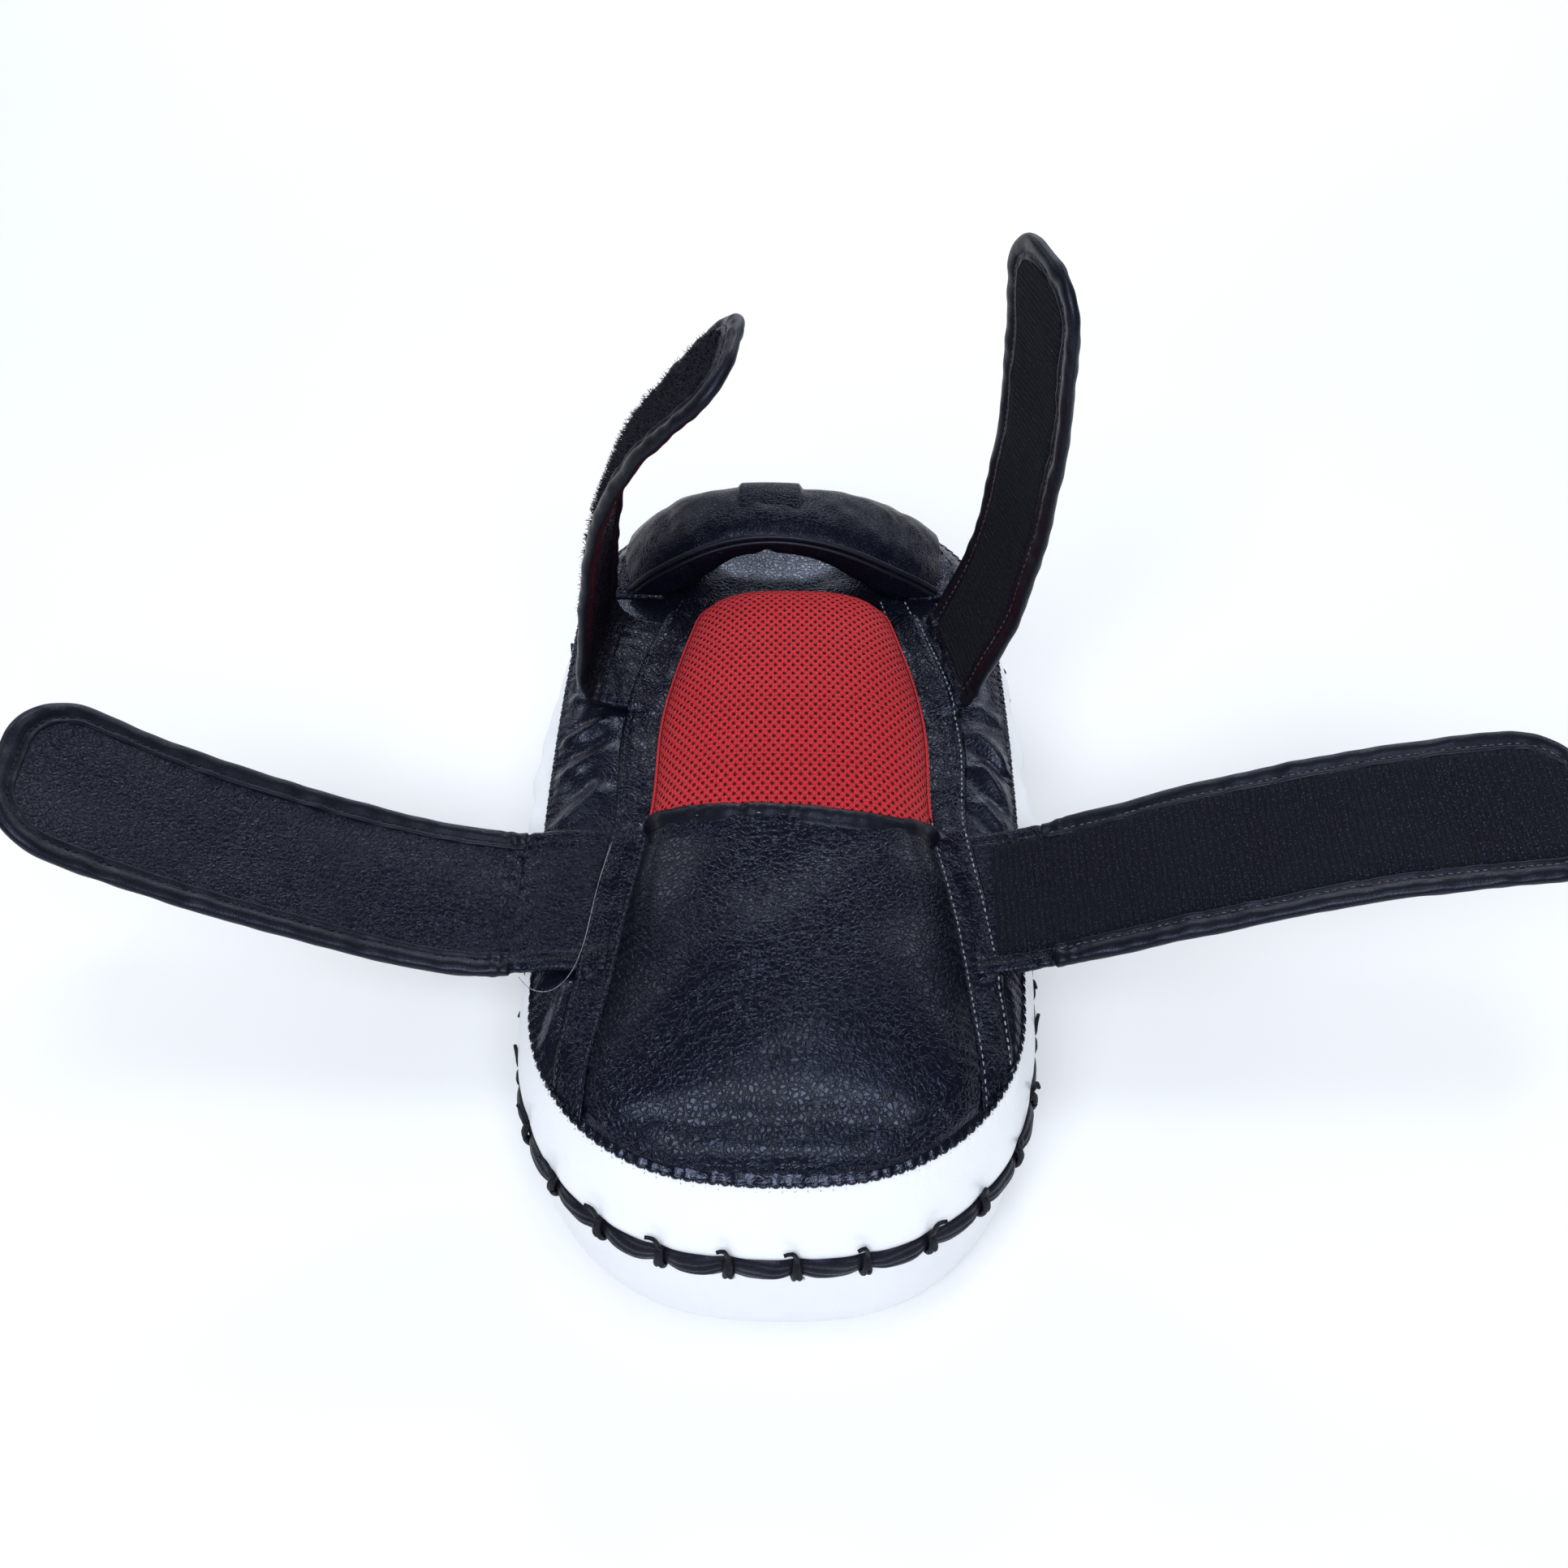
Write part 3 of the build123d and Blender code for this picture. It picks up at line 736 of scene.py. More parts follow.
@dataclass(frozen=True)
class TouchTape(Finish):
    """Black hook or loop tape woven in cross rows."""

    name: str
    colour: tuple = (0.0026, 0.0034, 0.0085)
    # colour of the painted glints on the fibre ends
    pale: tuple = (0.07, 0.083, 0.125)
    rows: float = TAPE_PITCH
    grain: float = 0.75
    # share by which the glints fade in the furrows between rows, which paints shade there
    furrow_shade: float = 0.85
    relief: float = 0.7
    cast: tuple = (0.005, 0.01, 0.014)

    def dress(self, g: Graph, shader: bpy.types.Node) -> None:
        """Rows of small loops with fibre ends painted lighter as glints, and painted shade in the furrows
        between the rows.
        """
        where = coordinates(g, True)
        split = g.wire(g.add("ShaderNodeSeparateXYZ"), Vector=where)
        sway = g.times(g.noise(where, 120.0, 2.0), 1.6)
        turn = g.times_plus(split.outputs[0], math.pi / (self.rows * MM), sway)
        row = g.span(g.math("ABSOLUTE", g.math("SINE", turn)), 0.15, 0.6)
        fibre = g.noise(where, 1.0 / (self.grain * MM), 3.0, 0.75)
        # Painted glints on the fibre ends, held back in the furrows between rows as painted shade.
        ends = g.times(g.span(fibre, 0.54, 0.68), g.times_plus(row, self.furrow_shade, 1.0 - self.furrow_shade))
        tint = g.mix(ends, self.colour, self.pale)
        tint = g.mix(g.span(g.noise(where, 30.0, 2.0), 0.35, 0.65, 0.0, 0.3), tint, self.cast)
        g.wire(shader, Base_Color=tint, Roughness=g.span(fibre, 0.2, 0.8, 0.62, 0.9), Specular_IOR_Level=0.1)
        g.wire(shader, Sheen_Weight=0.015, Sheen_Roughness=0.5)
        self.bump(g, shader, g.times_plus(fibre, 0.9, row), self.relief)


@dataclass(frozen=True)
class Thread(Finish):
    """Sewing thread or cord with twisted strands."""

    name: str
    colour: tuple
    shade: tuple
    roughness: float = 0.6
    strands: float = 0.8

    def dress(self, g: Graph, shader: bpy.types.Node) -> None:
        """Slanted strand pattern in colour and relief."""
        turned = g.add("ShaderNodeMapping")
        g.wire(turned, Vector=coordinates(g), Rotation=(0.5, 0.4, 0.6), Scale=(1.0, 0.35, 1.0))
        strand = g.noise(turned.outputs[0], 1.0 / (self.strands * MM), 2.0)
        tint = g.mix(g.span(strand, 0.35, 0.65), self.shade, self.colour)
        rough = g.span(strand, 0.3, 0.7, self.roughness + 0.15, self.roughness - 0.1)
        g.wire(shader, Base_Color=tint, Roughness=rough, Specular_IOR_Level=0.2)
        self.bump(g, shader, strand, 0.15)


@dataclass(frozen=True)
class Foam(Finish):
    """Closed-cell foam behind the covers."""

    name: str = "closed-cell foam"
    colour: tuple = (0.16, 0.16, 0.17)

    def dress(self, g: Graph, shader: bpy.types.Node) -> None:
        """Fine pores, painted darker in their pits as shade."""
        pores = g.cells(coordinates(g), 700.0, "F1")
        # Pore pits darkened: painted shade.
        tint = g.mix(g.span(pores, 0.1, 0.6), tuple(c * 0.6 for c in self.colour), self.colour)
        g.wire(shader, Base_Color=tint, Roughness=g.span(pores, 0.1, 0.6, 0.95, 0.8))
        self.bump(g, shader, pores, 0.2)


@dataclass(frozen=True)
class Floor(Finish):
    """Plain pale floor."""

    name: str = "plain pale floor"
    dark: tuple = (0.86, 0.86, 0.87)
    light: tuple = (0.88, 0.88, 0.89)
    glow: tuple = (0.97, 0.98, 1.0)

    def dress(self, g: Graph, shader: bpy.types.Node) -> None:
        """Very light matt grey, a little lighter far off where the camera sees it."""
        where = coordinates(g)
        away = g.add("ShaderNodeVectorMath", operation="LENGTH")
        g.feed(away.inputs[0], where)
        lift = g.span(away.outputs["Value"], 0.9, 4.5, 0.0, 0.6)
        seen = g.times(g.add("ShaderNodeLightPath").outputs["Is Camera Ray"], lift)
        tone = g.mix(g.span(g.noise(where, 3.0, 2.0), 0.3, 0.7), self.dark, self.light)
        g.wire(shader, Base_Color=tone, Roughness=0.8, Specular_IOR_Level=0.15)
        g.wire(shader, Emission_Color=self.glow, Emission_Strength=seen)


# The second colour is painted shade for the grain valleys.
BLACK, BLACK_SHADED_VALLEY = (0.0036, 0.0044, 0.0105), (0.0009, 0.0012, 0.003)
PANEL = Leather("black pebbled vinyl", BLACK, BLACK_SHADED_VALLEY, 0.17, 2.2, 0.42, shine=0.33)
BACK_VINYL = Leather("black smooth vinyl", BLACK, BLACK_SHADED_VALLEY, 0.19, 2.0, 0.13, coat=0.1, shine=0.55)
STRAP_LEATHER = Leather("black strap vinyl", BLACK, BLACK_SHADED_VALLEY, 0.2, 1.9, 0.46, shine=0.3, by_pattern=True)
GRIP_LEATHER = Leather(
    "black grip vinyl", BLACK, BLACK_SHADED_VALLEY, 0.15, 1.6, 0.2, fine=0.3, coat=0.03, shine=0.15
)
TRIM_COLOUR = (0.007, 0.0076, 0.0115)
TRIM = Leather("black edge binding", TRIM_COLOUR, BLACK_SHADED_VALLEY, 0.32, 1.3, 0.07, 0.08, 0.08)
STRAP_TRIM = Leather(
    "black strap binding", TRIM_COLOUR, BLACK_SHADED_VALLEY, 0.3, 1.3, 0.07, 0.08, 0.08, by_pattern=True
)
LACING = Leather("gathered black vinyl", (0.009, 0.0098, 0.0145), BLACK_SHADED_VALLEY, 0.34, 1.4, 0.06)
WHITE = WhiteVinyl()
MESH = KnitMesh()
# Backing under the net: a real layer, its colours the mesh red darkened as painted shade in the holes, with a
# dim painted highlight.
MESH_SHADED_BACKING = KnitMesh(
    "red spacer backing, painted shade", (0.12, 0.002, 0.005), (0.05, 0.001, 0.002), (0.16, 0.006, 0.01), 0.5
)
HOOK = TouchTape("black hook tape")
# The loop tape's pale colour is the painted glint of its fibre ends too.
LOOP = TouchTape("black loop tape", (0.003, 0.0038, 0.009), (0.05, 0.06, 0.09), 3.4, 0.7, 0.35, 0.8)
BLACK_THREAD = Thread("black thread", (0.02, 0.021, 0.028), (0.005, 0.0055, 0.009))
PALE_THREAD = Thread("pale thread", (0.68, 0.7, 0.74), (0.4, 0.42, 0.47), 0.5)
GREY_THREAD = Thread("grey stitch thread", (0.3, 0.32, 0.36), (0.12, 0.13, 0.16), 0.45)
DARK_STITCH = Thread("dark stitch thread", (0.06, 0.065, 0.08), (0.018, 0.02, 0.028), 0.4)
CORD = Thread("black lacing cord", (0.008, 0.0095, 0.017), (0.0025, 0.003, 0.006), 0.55, 0.5)
DULL_STITCH = Thread("dull stitch thread", (0.1, 0.11, 0.13), (0.03, 0.033, 0.045), 0.45)
LOOP_FIBRE = Thread("black loop fibre", (0.024, 0.027, 0.04), (0.007, 0.0075, 0.012), 0.8, 0.3)
HOOK_FIBRE = Thread("black hook fibre", (0.024, 0.027, 0.036), (0.007, 0.0075, 0.012), 0.6, 0.3)
FOAM = Foam()


# ---- pad outline ----------------------------------------------------------------------------
@dataclass(frozen=True)
class PadOutline:
    """Oval of long side arcs, shallow end arcs and corner arcs, with insets from the widest line."""

    half_length: float = 192.0
    half_width: float = 100.5
    side_radius: float = 1800.0
    end_radius: float = 200.0
    corner_radius: float = 80.0
    corner_share: float = 0.9

    def ring(self, end_in: float, side_in: float, count: int) -> Array:
        """Points evenly spaced round the oval, first one repeated at the end.

        Args:
            end_in: inset at the two ends.
            side_in: inset at the two sides.
            count: points round the oval.

        Returns:
            Array of count + 1 points (x, y), anticlockwise from +X.
        """
        length, width = self.half_length - end_in, self.half_width - side_in
        corner = self.corner_radius - side_in * self.corner_share
        side_c, end_c = np.array([width - self.side_radius, 0.0]), np.array([0.0, length - self.end_radius])
        r1, r2 = self.side_radius - corner, self.end_radius - corner
        gap = float(np.linalg.norm(end_c - side_c))
        along = (r1 * r1 - r2 * r2 + gap * gap) / (2 * gap)
        off = math.sqrt(r1 * r1 - along * along)
        u = (end_c - side_c) / gap
        centre = side_c + along * u + off * np.array([u[1], -u[0]])
        if centre[0] < 0 or centre[1] < 0:
            centre = side_c + along * u - off * np.array([u[1], -u[0]])
        a0 = math.atan2(*(centre - side_c)[::-1])
        a1 = math.atan2(*(centre - end_c)[::-1])
        first = np.concatenate([
            self.arc(side_c, self.side_radius, 0.0, a0, 80),
            self.arc(centre, corner, a0, a1, 160)[1:],
            self.arc(end_c, self.end_radius, a1, math.pi / 2, 80)[1:],
        ])
        upper = np.concatenate([first, (first * [-1, 1])[::-1][1:]])
        return even_points(np.concatenate([upper, (upper * [-1, -1])[1:]]), count + 1)

    @staticmethod
    def arc(centre: Array, radius: float, start: float, end: float, count: int) -> Array:
        """Points along an arc."""
        turn = np.linspace(start, end, count)
        return centre + radius * np.stack([np.cos(turn), np.sin(turn)], axis=1)

    def length_round(self) -> float:
        """Length of the widest line."""
        return float(run_along(self.ring(0.0, 0.0, 2000))[-1])


OUTLINE = PadOutline()


@dataclass(frozen=True)
class Fold:
    """A wrinkle of the back panel: a soft ridge with a valley beside it."""

    start: tuple
    end: tuple
    width: float
    height: float

    def lift(self, x: Array, y: Array) -> Array:
        """Height of the wrinkle at each point."""
        a, b = np.array(self.start), np.array(self.end)
        run = b - a
        size = float(np.linalg.norm(run))
        run = run / size
        along = ((x - a[0]) * run[0] + (y - a[1]) * run[1]) / size
        bow = 0.06 * size * np.sin(math.pi * np.clip(along, 0, 1))
        off = (x - a[0]) * run[1] - (y - a[1]) * run[0] + bow
        body = ease(along / 0.3 + 0.3) * ease((1 - along) / 0.3 + 0.3)
        ridge = bell(off, self.width) - 0.6 * bell(off - 1.5 * self.width, self.width)
        return 1.3 * self.height * ridge * body


@dataclass
class PadBody:
    """White sides, lacing and black back panel of the pad."""

    seam_in: tuple = (12.8, 5.3)
    plateau_in: tuple = (25.0, 17.5)
    rise: tuple = ((-0.4, 87.5), (0.0, 89.6), (0.2, 91.4), (0.5, 93.9), (0.8, 95.5), (1.1, 96.1), (1.6, 96.2))
    strike_profile: tuple = (
        (22, 28, 0.3), (12, 18.5, 0.25), (6.5, 13, 0.5), (2.6, 8.2, 3.2), (0.6, 4.6, 10), (-0.3, 2.4, 22),
        (-0.5, 0.7, 34), (-0.2, 0.0, 42), (0.6, 0.5, 46.2), (2.4, 2.4, 47.4), (4.4, 4.4, 47.2),
    )
    wall_profile: tuple = (
        (4.4, 4.4, 56.8), (2.4, 2.4, 56.6), (0.5, 0.5, 57.9), (-0.2, -0.3, 61.0), (1.6, 0.0, 67.0),
        (5.6, 1.6, 75.0), (9.6, 3.6, 82.5), (12.4, 5.2, 87.4), (14.4, 7.2, 89.2), (16.6, 9.4, 89.4),
    )
    lip: tuple = (
        (16.4, 9.2, 87.4), (14.6, 7.4, 87.0), (12.6, 5.2, 87.4), (11.9, 4.4, 88.4), (12.3, 4.8, 89.6),
    )
    lace_z: float = 52.0
    scallop: float = 4.5
    per_scallop: int = 5
    folds: tuple = (
        Fold((-73.0, 34.0), (-95.0, 22.0), 3.4, 2.0),
        Fold((-70.0, 20.0), (-93.0, 3.0), 3.8, 1.7),
        Fold((-72.0, -2.0), (-92.0, -24.0), 4.4, 1.6),
        Fold((-74.0, 44.0), (-92.0, 50.0), 3.0, 1.0),
        Fold((76.0, 30.0), (97.0, 8.0), 3.6, 2.1),
        Fold((78.0, 12.0), (95.0, -12.0), 4.4, 1.6),
        Fold((79.0, -8.0), (94.0, -30.0), 3.8, 1.2),
        Fold((80.0, 44.0), (92.0, 36.0), 3.4, 1.0),
        Fold((-78.0, -98.0), (-86.0, -128.0), 3.2, 1.3),
        Fold((85.0, -96.0), (87.0, -126.0), 3.0, 0.9),
        Fold((-44.0, 112.0), (-20.0, 122.0), 3.0, 0.7),
        Fold((40.0, 110.0), (14.0, 119.0), 3.0, 0.7),
    )

    def __post_init__(self) -> None:
        """Works out the rings that the heights are read from."""
        self.scallops = round(OUTLINE.length_round() * 0.955 / self.scallop)
        self.columns = self.scallops * self.per_scallop
        self.seam_polar, self.plateau_polar = (
            self.polar(OUTLINE.ring(*inset, 1440)) for inset in (self.seam_in, self.plateau_in)
        )

    @staticmethod
    def polar(ring: Array) -> tuple:
        """Angle and radius table of a ring."""
        angle = np.unwrap(np.arctan2(ring[:, 1], ring[:, 0]))
        return angle, np.hypot(ring[:, 0], ring[:, 1])

    def depth_in(self, x: Array, y: Array) -> Array:
        """How far in from the seam each point is: 0 at the seam, 1 where the back is level."""
        angle = np.mod(np.arctan2(y, x), 2 * math.pi)
        radius = np.hypot(x, y)
        seam = np.interp(angle, *self.seam_polar)
        level = np.interp(angle, *self.plateau_polar)
        return (seam - radius) / (seam - level)

    def back_height(self, x: Array, y: Array) -> Array:
        """Height of the back panel, wrinkles included."""
        inside = self.depth_in(x, y)
        height = np.where(inside > 1.5, self.rise[-1][1], table_at(self.rise, inside))
        height = height + 0.35 * ripple(np.stack([x, y], axis=-1), 55.0, 3) * ease(inside)
        for fold in self.folds:
            height = height + fold.lift(x, y) * ease(inside * 2.2 + 0.15)
        return height

    def strike_cover(self) -> bpy.types.Object:
        """White strike face and lower side, turned in behind the lacing."""
        columns = 440
        middle = OUTLINE.ring(*self.strike_profile[0][:2], columns)
        rows = [at_height(middle * share, 0.4) for share in (0.0, 0.25, 0.5, 0.75, 0.92)]
        for end_in, side_in, z in curve_through(self.strike_profile, 46):
            ring = OUTLINE.ring(end_in, side_in, columns)
            wave = 0.5 * ripple(at_height(ring, z), 70.0, 11) * ease(z / 12) * ease((47 - z) / 8 + 0.2)
            rows.append(pushed(ring, wave - 0.8 * self.pinch(ring, 4.0) * bell(z - 48.0, 7.0), z))
        piece = skin("strike_cover_shell", np.array(rows), outward=(), wall=1.4)
        return fit(piece, WHITE, "white_vinyl", "pad", "strike_cover")

    def pinch(self, ring: Array, width: float) -> Array:
        """1 at each lacing tie, dying away over width along a ring of points."""
        total = np.zeros(len(ring))
        for spot in self.tie_spots():
            total = np.maximum(total, bell(np.hypot(*(ring - spot[:2]).T), width))
        return total

    def tie_spots(self) -> Array:
        """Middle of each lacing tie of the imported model, in millimetres."""
        if not hasattr(self, "spots"):
            bm = bmesh.new()
            bm.from_mesh(self.nodes["lacing_ties"].data)
            bmesh.ops.remove_doubles(bm, verts=bm.verts, dist=1e-6)
            seen, found = set(), []
            for vert in bm.verts:
                if vert.index in seen:
                    continue
                island, queue = [], [vert]
                seen.add(vert.index)
                while queue:
                    here = queue.pop()
                    island.append(here.co / MM)
                    for edge in here.link_edges:
                        other = edge.other_vert(here)
                        if other.index not in seen:
                            seen.add(other.index)
                            queue.append(other)
                found.append(np.mean([list(co) for co in island], axis=0))
            bm.free()
            self.spots = np.array(sorted(found, key=lambda p: math.atan2(p[1], p[0])))
        return self.spots

    def whip(self) -> Array:
        """Pull of the whip stitches at each column: 0 at a stitch and 1 between two."""
        column = np.arange(self.columns + 1) % self.per_scallop
        return np.abs(np.sin(math.pi * column / self.per_scallop))

    def upper_sidewall(self) -> bpy.types.Object:
        """White band from the lacing to the back panel's seam."""
        whip = self.whip()
        rows = []
        for end_in, side_in, z in curve_through(self.wall_profile, 26):
            ring = OUTLINE.ring(end_in, side_in, self.columns)
            points = at_height(ring, z)
            middle = ease((z - 57) / 8) * ease((90 - z) / 6)
            side = ease((np.abs(ring[:, 0]) - 70) / 20)
            crumple = bell(np.abs(ring[:, 1]) - 20.0, 30.0) * ripple(points, 16.0, 22) * ease((z - 76) / 8)
            bulge = (5.2 + 0.9 * ripple(ring, 24.0, 23)) * side * bell(ring[:, 1] - 20.0, 62.0)
            wave = (0.45 + 0.75 * side) * ripple(points, 42.0, 21) * middle + side * 0.8 * crumple * middle
            wave += bulge * bell(z - 69.0, 10.0)
            wave -= 0.9 * self.pinch(ring, 4.0) * bell(z - 56.5, 7.0)
            wave -= 0.45 * (1 - whip) * bell(z - 88.0, 3.0)
            rows.append(pushed(ring, wave, z))
        piece = skin("upper_sidewall_band", np.array(rows), outward=(), wall=1.2)
        return fit(piece, WHITE, "white_vinyl", "pad", "upper_sidewall")

    def back_panel(self) -> bpy.types.Object:
        """Black panel: scalloped at the seam, wrinkled beside the strips."""
        whip = self.whip()
        rough = 1.0 + 0.35 * ripple(OUTLINE.ring(*self.seam_in, self.columns), 26.0, 31)
        rows = []
        for end_in, side_in, z in curve_through(self.lip, 8):
            near = (1 - whip) * bell(z - 88.6, 2.2)
            ring = OUTLINE.ring(end_in, side_in, self.columns)
            rows.append(pushed(ring, -1.15 * near * rough, z + 0.5 * near))
        edge, inner = (OUTLINE.ring(*inset, self.columns) for inset in (self.lip[-1][:2], self.plateau_in))
        for share in (0.06, 0.12, 0.19, 0.27, 0.36, 0.46, 0.57, 0.7, 0.84, 1.0):
            rows.append(self.back_row(edge + (inner - edge) * share, share, whip, rough))
        for share in (0.975, 0.95, 0.925, 0.9, 0.87, 0.84, 0.81, 0.78, 0.74, 0.7, 0.65, 0.58, 0.4, 0.0):
            rows.append(self.back_row(inner * share, 2.0, whip, rough))
        piece = skin("back_panel_cover", np.array(rows), outward=(0, 0, 1), wall=1.0)
        return fit(piece, BACK_VINYL, "black_vinyl", "pad", "back_panel")

    def back_row(self, ring: Array, share: float, whip: Array, rough: Array) -> Array:
        """One ring of the back panel at its height, with puckers that die away inwards."""
        z = self.back_height(ring[:, 0], ring[:, 1]) - 0.9 * (1 - whip) * math.exp(-share * 5.0) * rough
        z = z + 0.35 * ripple(ring, 9.0, 37) * math.exp(-share * 2.4)
        points = np.column_stack([ring, z])
        points[-1] = points[0]
        return points

    def whip_stitches(self) -> list:
        """Thread over each valley of the seam, and its pale end on the white side."""
        dark, pale = Stitching("seam_whip_thread"), Stitching("seam_thread_ticks")
        ring = OUTLINE.ring(*self.seam_in, self.columns)
        out = outward_of(ring)
        rng = np.random.default_rng(5)
        for i in range(0, self.columns, self.per_scallop):
            down = np.array([*(out[i] * 0.6), -0.8])
            dark.place([*(ring[i] + out[i] * 0.05), 89.3], down, [*(out[i] * 0.75), 0.66], 2.3, 0.4)
            if rng.uniform() < 0.85:
                spot, run = [*(ring[i] + out[i] * 0.75), 86.2], down + rng.normal(size=3) * 0.3
                pale.place(spot, run, [*(out[i] * 0.93), 0.36], rng.uniform(0.7, 1.3), 0.3)
        return [
            fit(dark.finish(), BLACK_THREAD, "lacing_cord", "pad"),
            fit(pale.finish(), PALE_THREAD, "white_vinyl", "pad"),
        ]

    def lacing_strip(self) -> bpy.types.Object:
        """Gathered strip: long folds that swell between the ties and are pinched at them."""
        ring = OUTLINE.ring(1.6, 1.6, 880)
        pull = self.pinch(ring, 5.2)
        drift = ripple(ring, 34.0, 41) * 0.5
        half = 7.7 - 2.5 * pull + 0.4 * ripple(ring, 30.0, 42)
        uneven = (1.0 - 0.45 * pull) * (1.15 + 0.35 * ripple(ring, 22.0, 43))
        rows = []
        for q in np.linspace(-1.0, 1.0, 27):
            swell = math.sqrt(max(0.0, 1.0 - q * q))
            lobes = np.abs(np.sin(math.pi * (q * 2.1 + drift + 0.35 * q * pull))) ** 0.7
            push = -1.2 + swell * (5.0 - 2.4 * pull + 0.8 * lobes * uneven)
            rows.append(pushed(ring, push, self.lace_z + q * half))
        piece = skin("lacing_strip_gathers", np.array(rows), outward=(), wall=0.9)
        return fit(piece, LACING, "lacing_vinyl", "pad", "lacing_strip")

    def lacing_ties(self) -> list:
        """Cord round the strip at each tie, with cut ends that stand up."""
        ring = OUTLINE.ring(0.0, 0.0, 2000)
        out = outward_of(ring)
        rng = np.random.default_rng(8)
        round_strip = (
            (-5.2, -2.6), (-5.8, -0.5), (-4.6, 1.2), (-1.6, 2.4), (1.8, 2.3), (4.6, 1.2), (6.2, -0.7),
            (5.8, -2.6),
        )
        parts, frays = [], []
        for spot in self.tie_spots():
            k = int(np.argmin(np.hypot(*(ring[:-1] - spot[:2]).T)))
            axes = np.array([[-out[k, 1], out[k, 0], 0.0], [*out[k], 0.0], [0.0, 0.0, 1.0]])
            home = np.array([*ring[k], self.lace_z])
            lean = rng.uniform(-0.8, 0.8)
            for shift, cross in ((-0.75, 0.5), (0.8, -0.4)):
                knots = [(shift + lean * h / 8 + cross * h / 7, away, h) for h, away in round_strip]
                path = curve_through(home + np.array(knots) @ axes, 18)
                parts.append(skin("strand", tube_grid(path, 1.15, 8)))
            side = -1.0 if rng.uniform() < 0.85 else 1.0
            reach = side * rng.uniform(0.8, 1.15)
            low = 0.45 if abs(spot[0]) > 78 and spot[1] > -95 else 1.0
            tip = 15.6 + rng.uniform(-0.8, 0.8)
            tail = ((0.2, -1.0, 5.4), (-0.3, 1.3, 8.6), (0.4, 1.6, 12.6), (2.0, 1.9, 15.4), (4.4, 2.5, tip))
            knots = [(along * reach, away, 5.4 + (h - 5.4) * low) for along, away, h in tail]
            path = curve_through(home + np.array(knots) @ axes, 10)
            parts.append(skin("tail", tube_grid(path, np.linspace(1.05, 0.75, 10), 7)))
            if rng.uniform() < 0.6:
                ends = [(rng.uniform(0.5, 2.5), 0.7, -5.6), (rng.uniform(1.5, 3.5), 0.9, -6.8)]
                tuft = np.array(ends) @ axes
                hair = tube_grid(np.linspace(*(home + tuft), 4), (0.5, 0.6, 0.45, 0.2), 6)
                frays.append(skin("fray", hair))
        return [
            fit(gather("lacing_tie_cords", parts), CORD, "lacing_cord", "pad", "lacing_ties"),
            fit(gather("lacing_hole_fluff", frays), PALE_THREAD, "white_vinyl", "pad"),
        ]

    def build(self, nodes: dict) -> list:
        """Every piece of the pad's own body."""
        self.nodes = nodes
        for name in ("strike_foam", "core_foam", "back_foam"):
            FOAM.put_on(nodes[name])
        shell = self.strike_cover()
        back = self.back_panel()
        return [
            shell, self.upper_sidewall(), back, self.lacing_strip(),
            *self.lacing_ties(), *self.whip_stitches(),
        ]


# ---- forearm cushion ------------------------------------------------------------------------
LOWER_Y, LOWER_WIDTH = -62.7, 70.0
UPPER_Y, UPPER_WIDTH = 67.0, 56.0


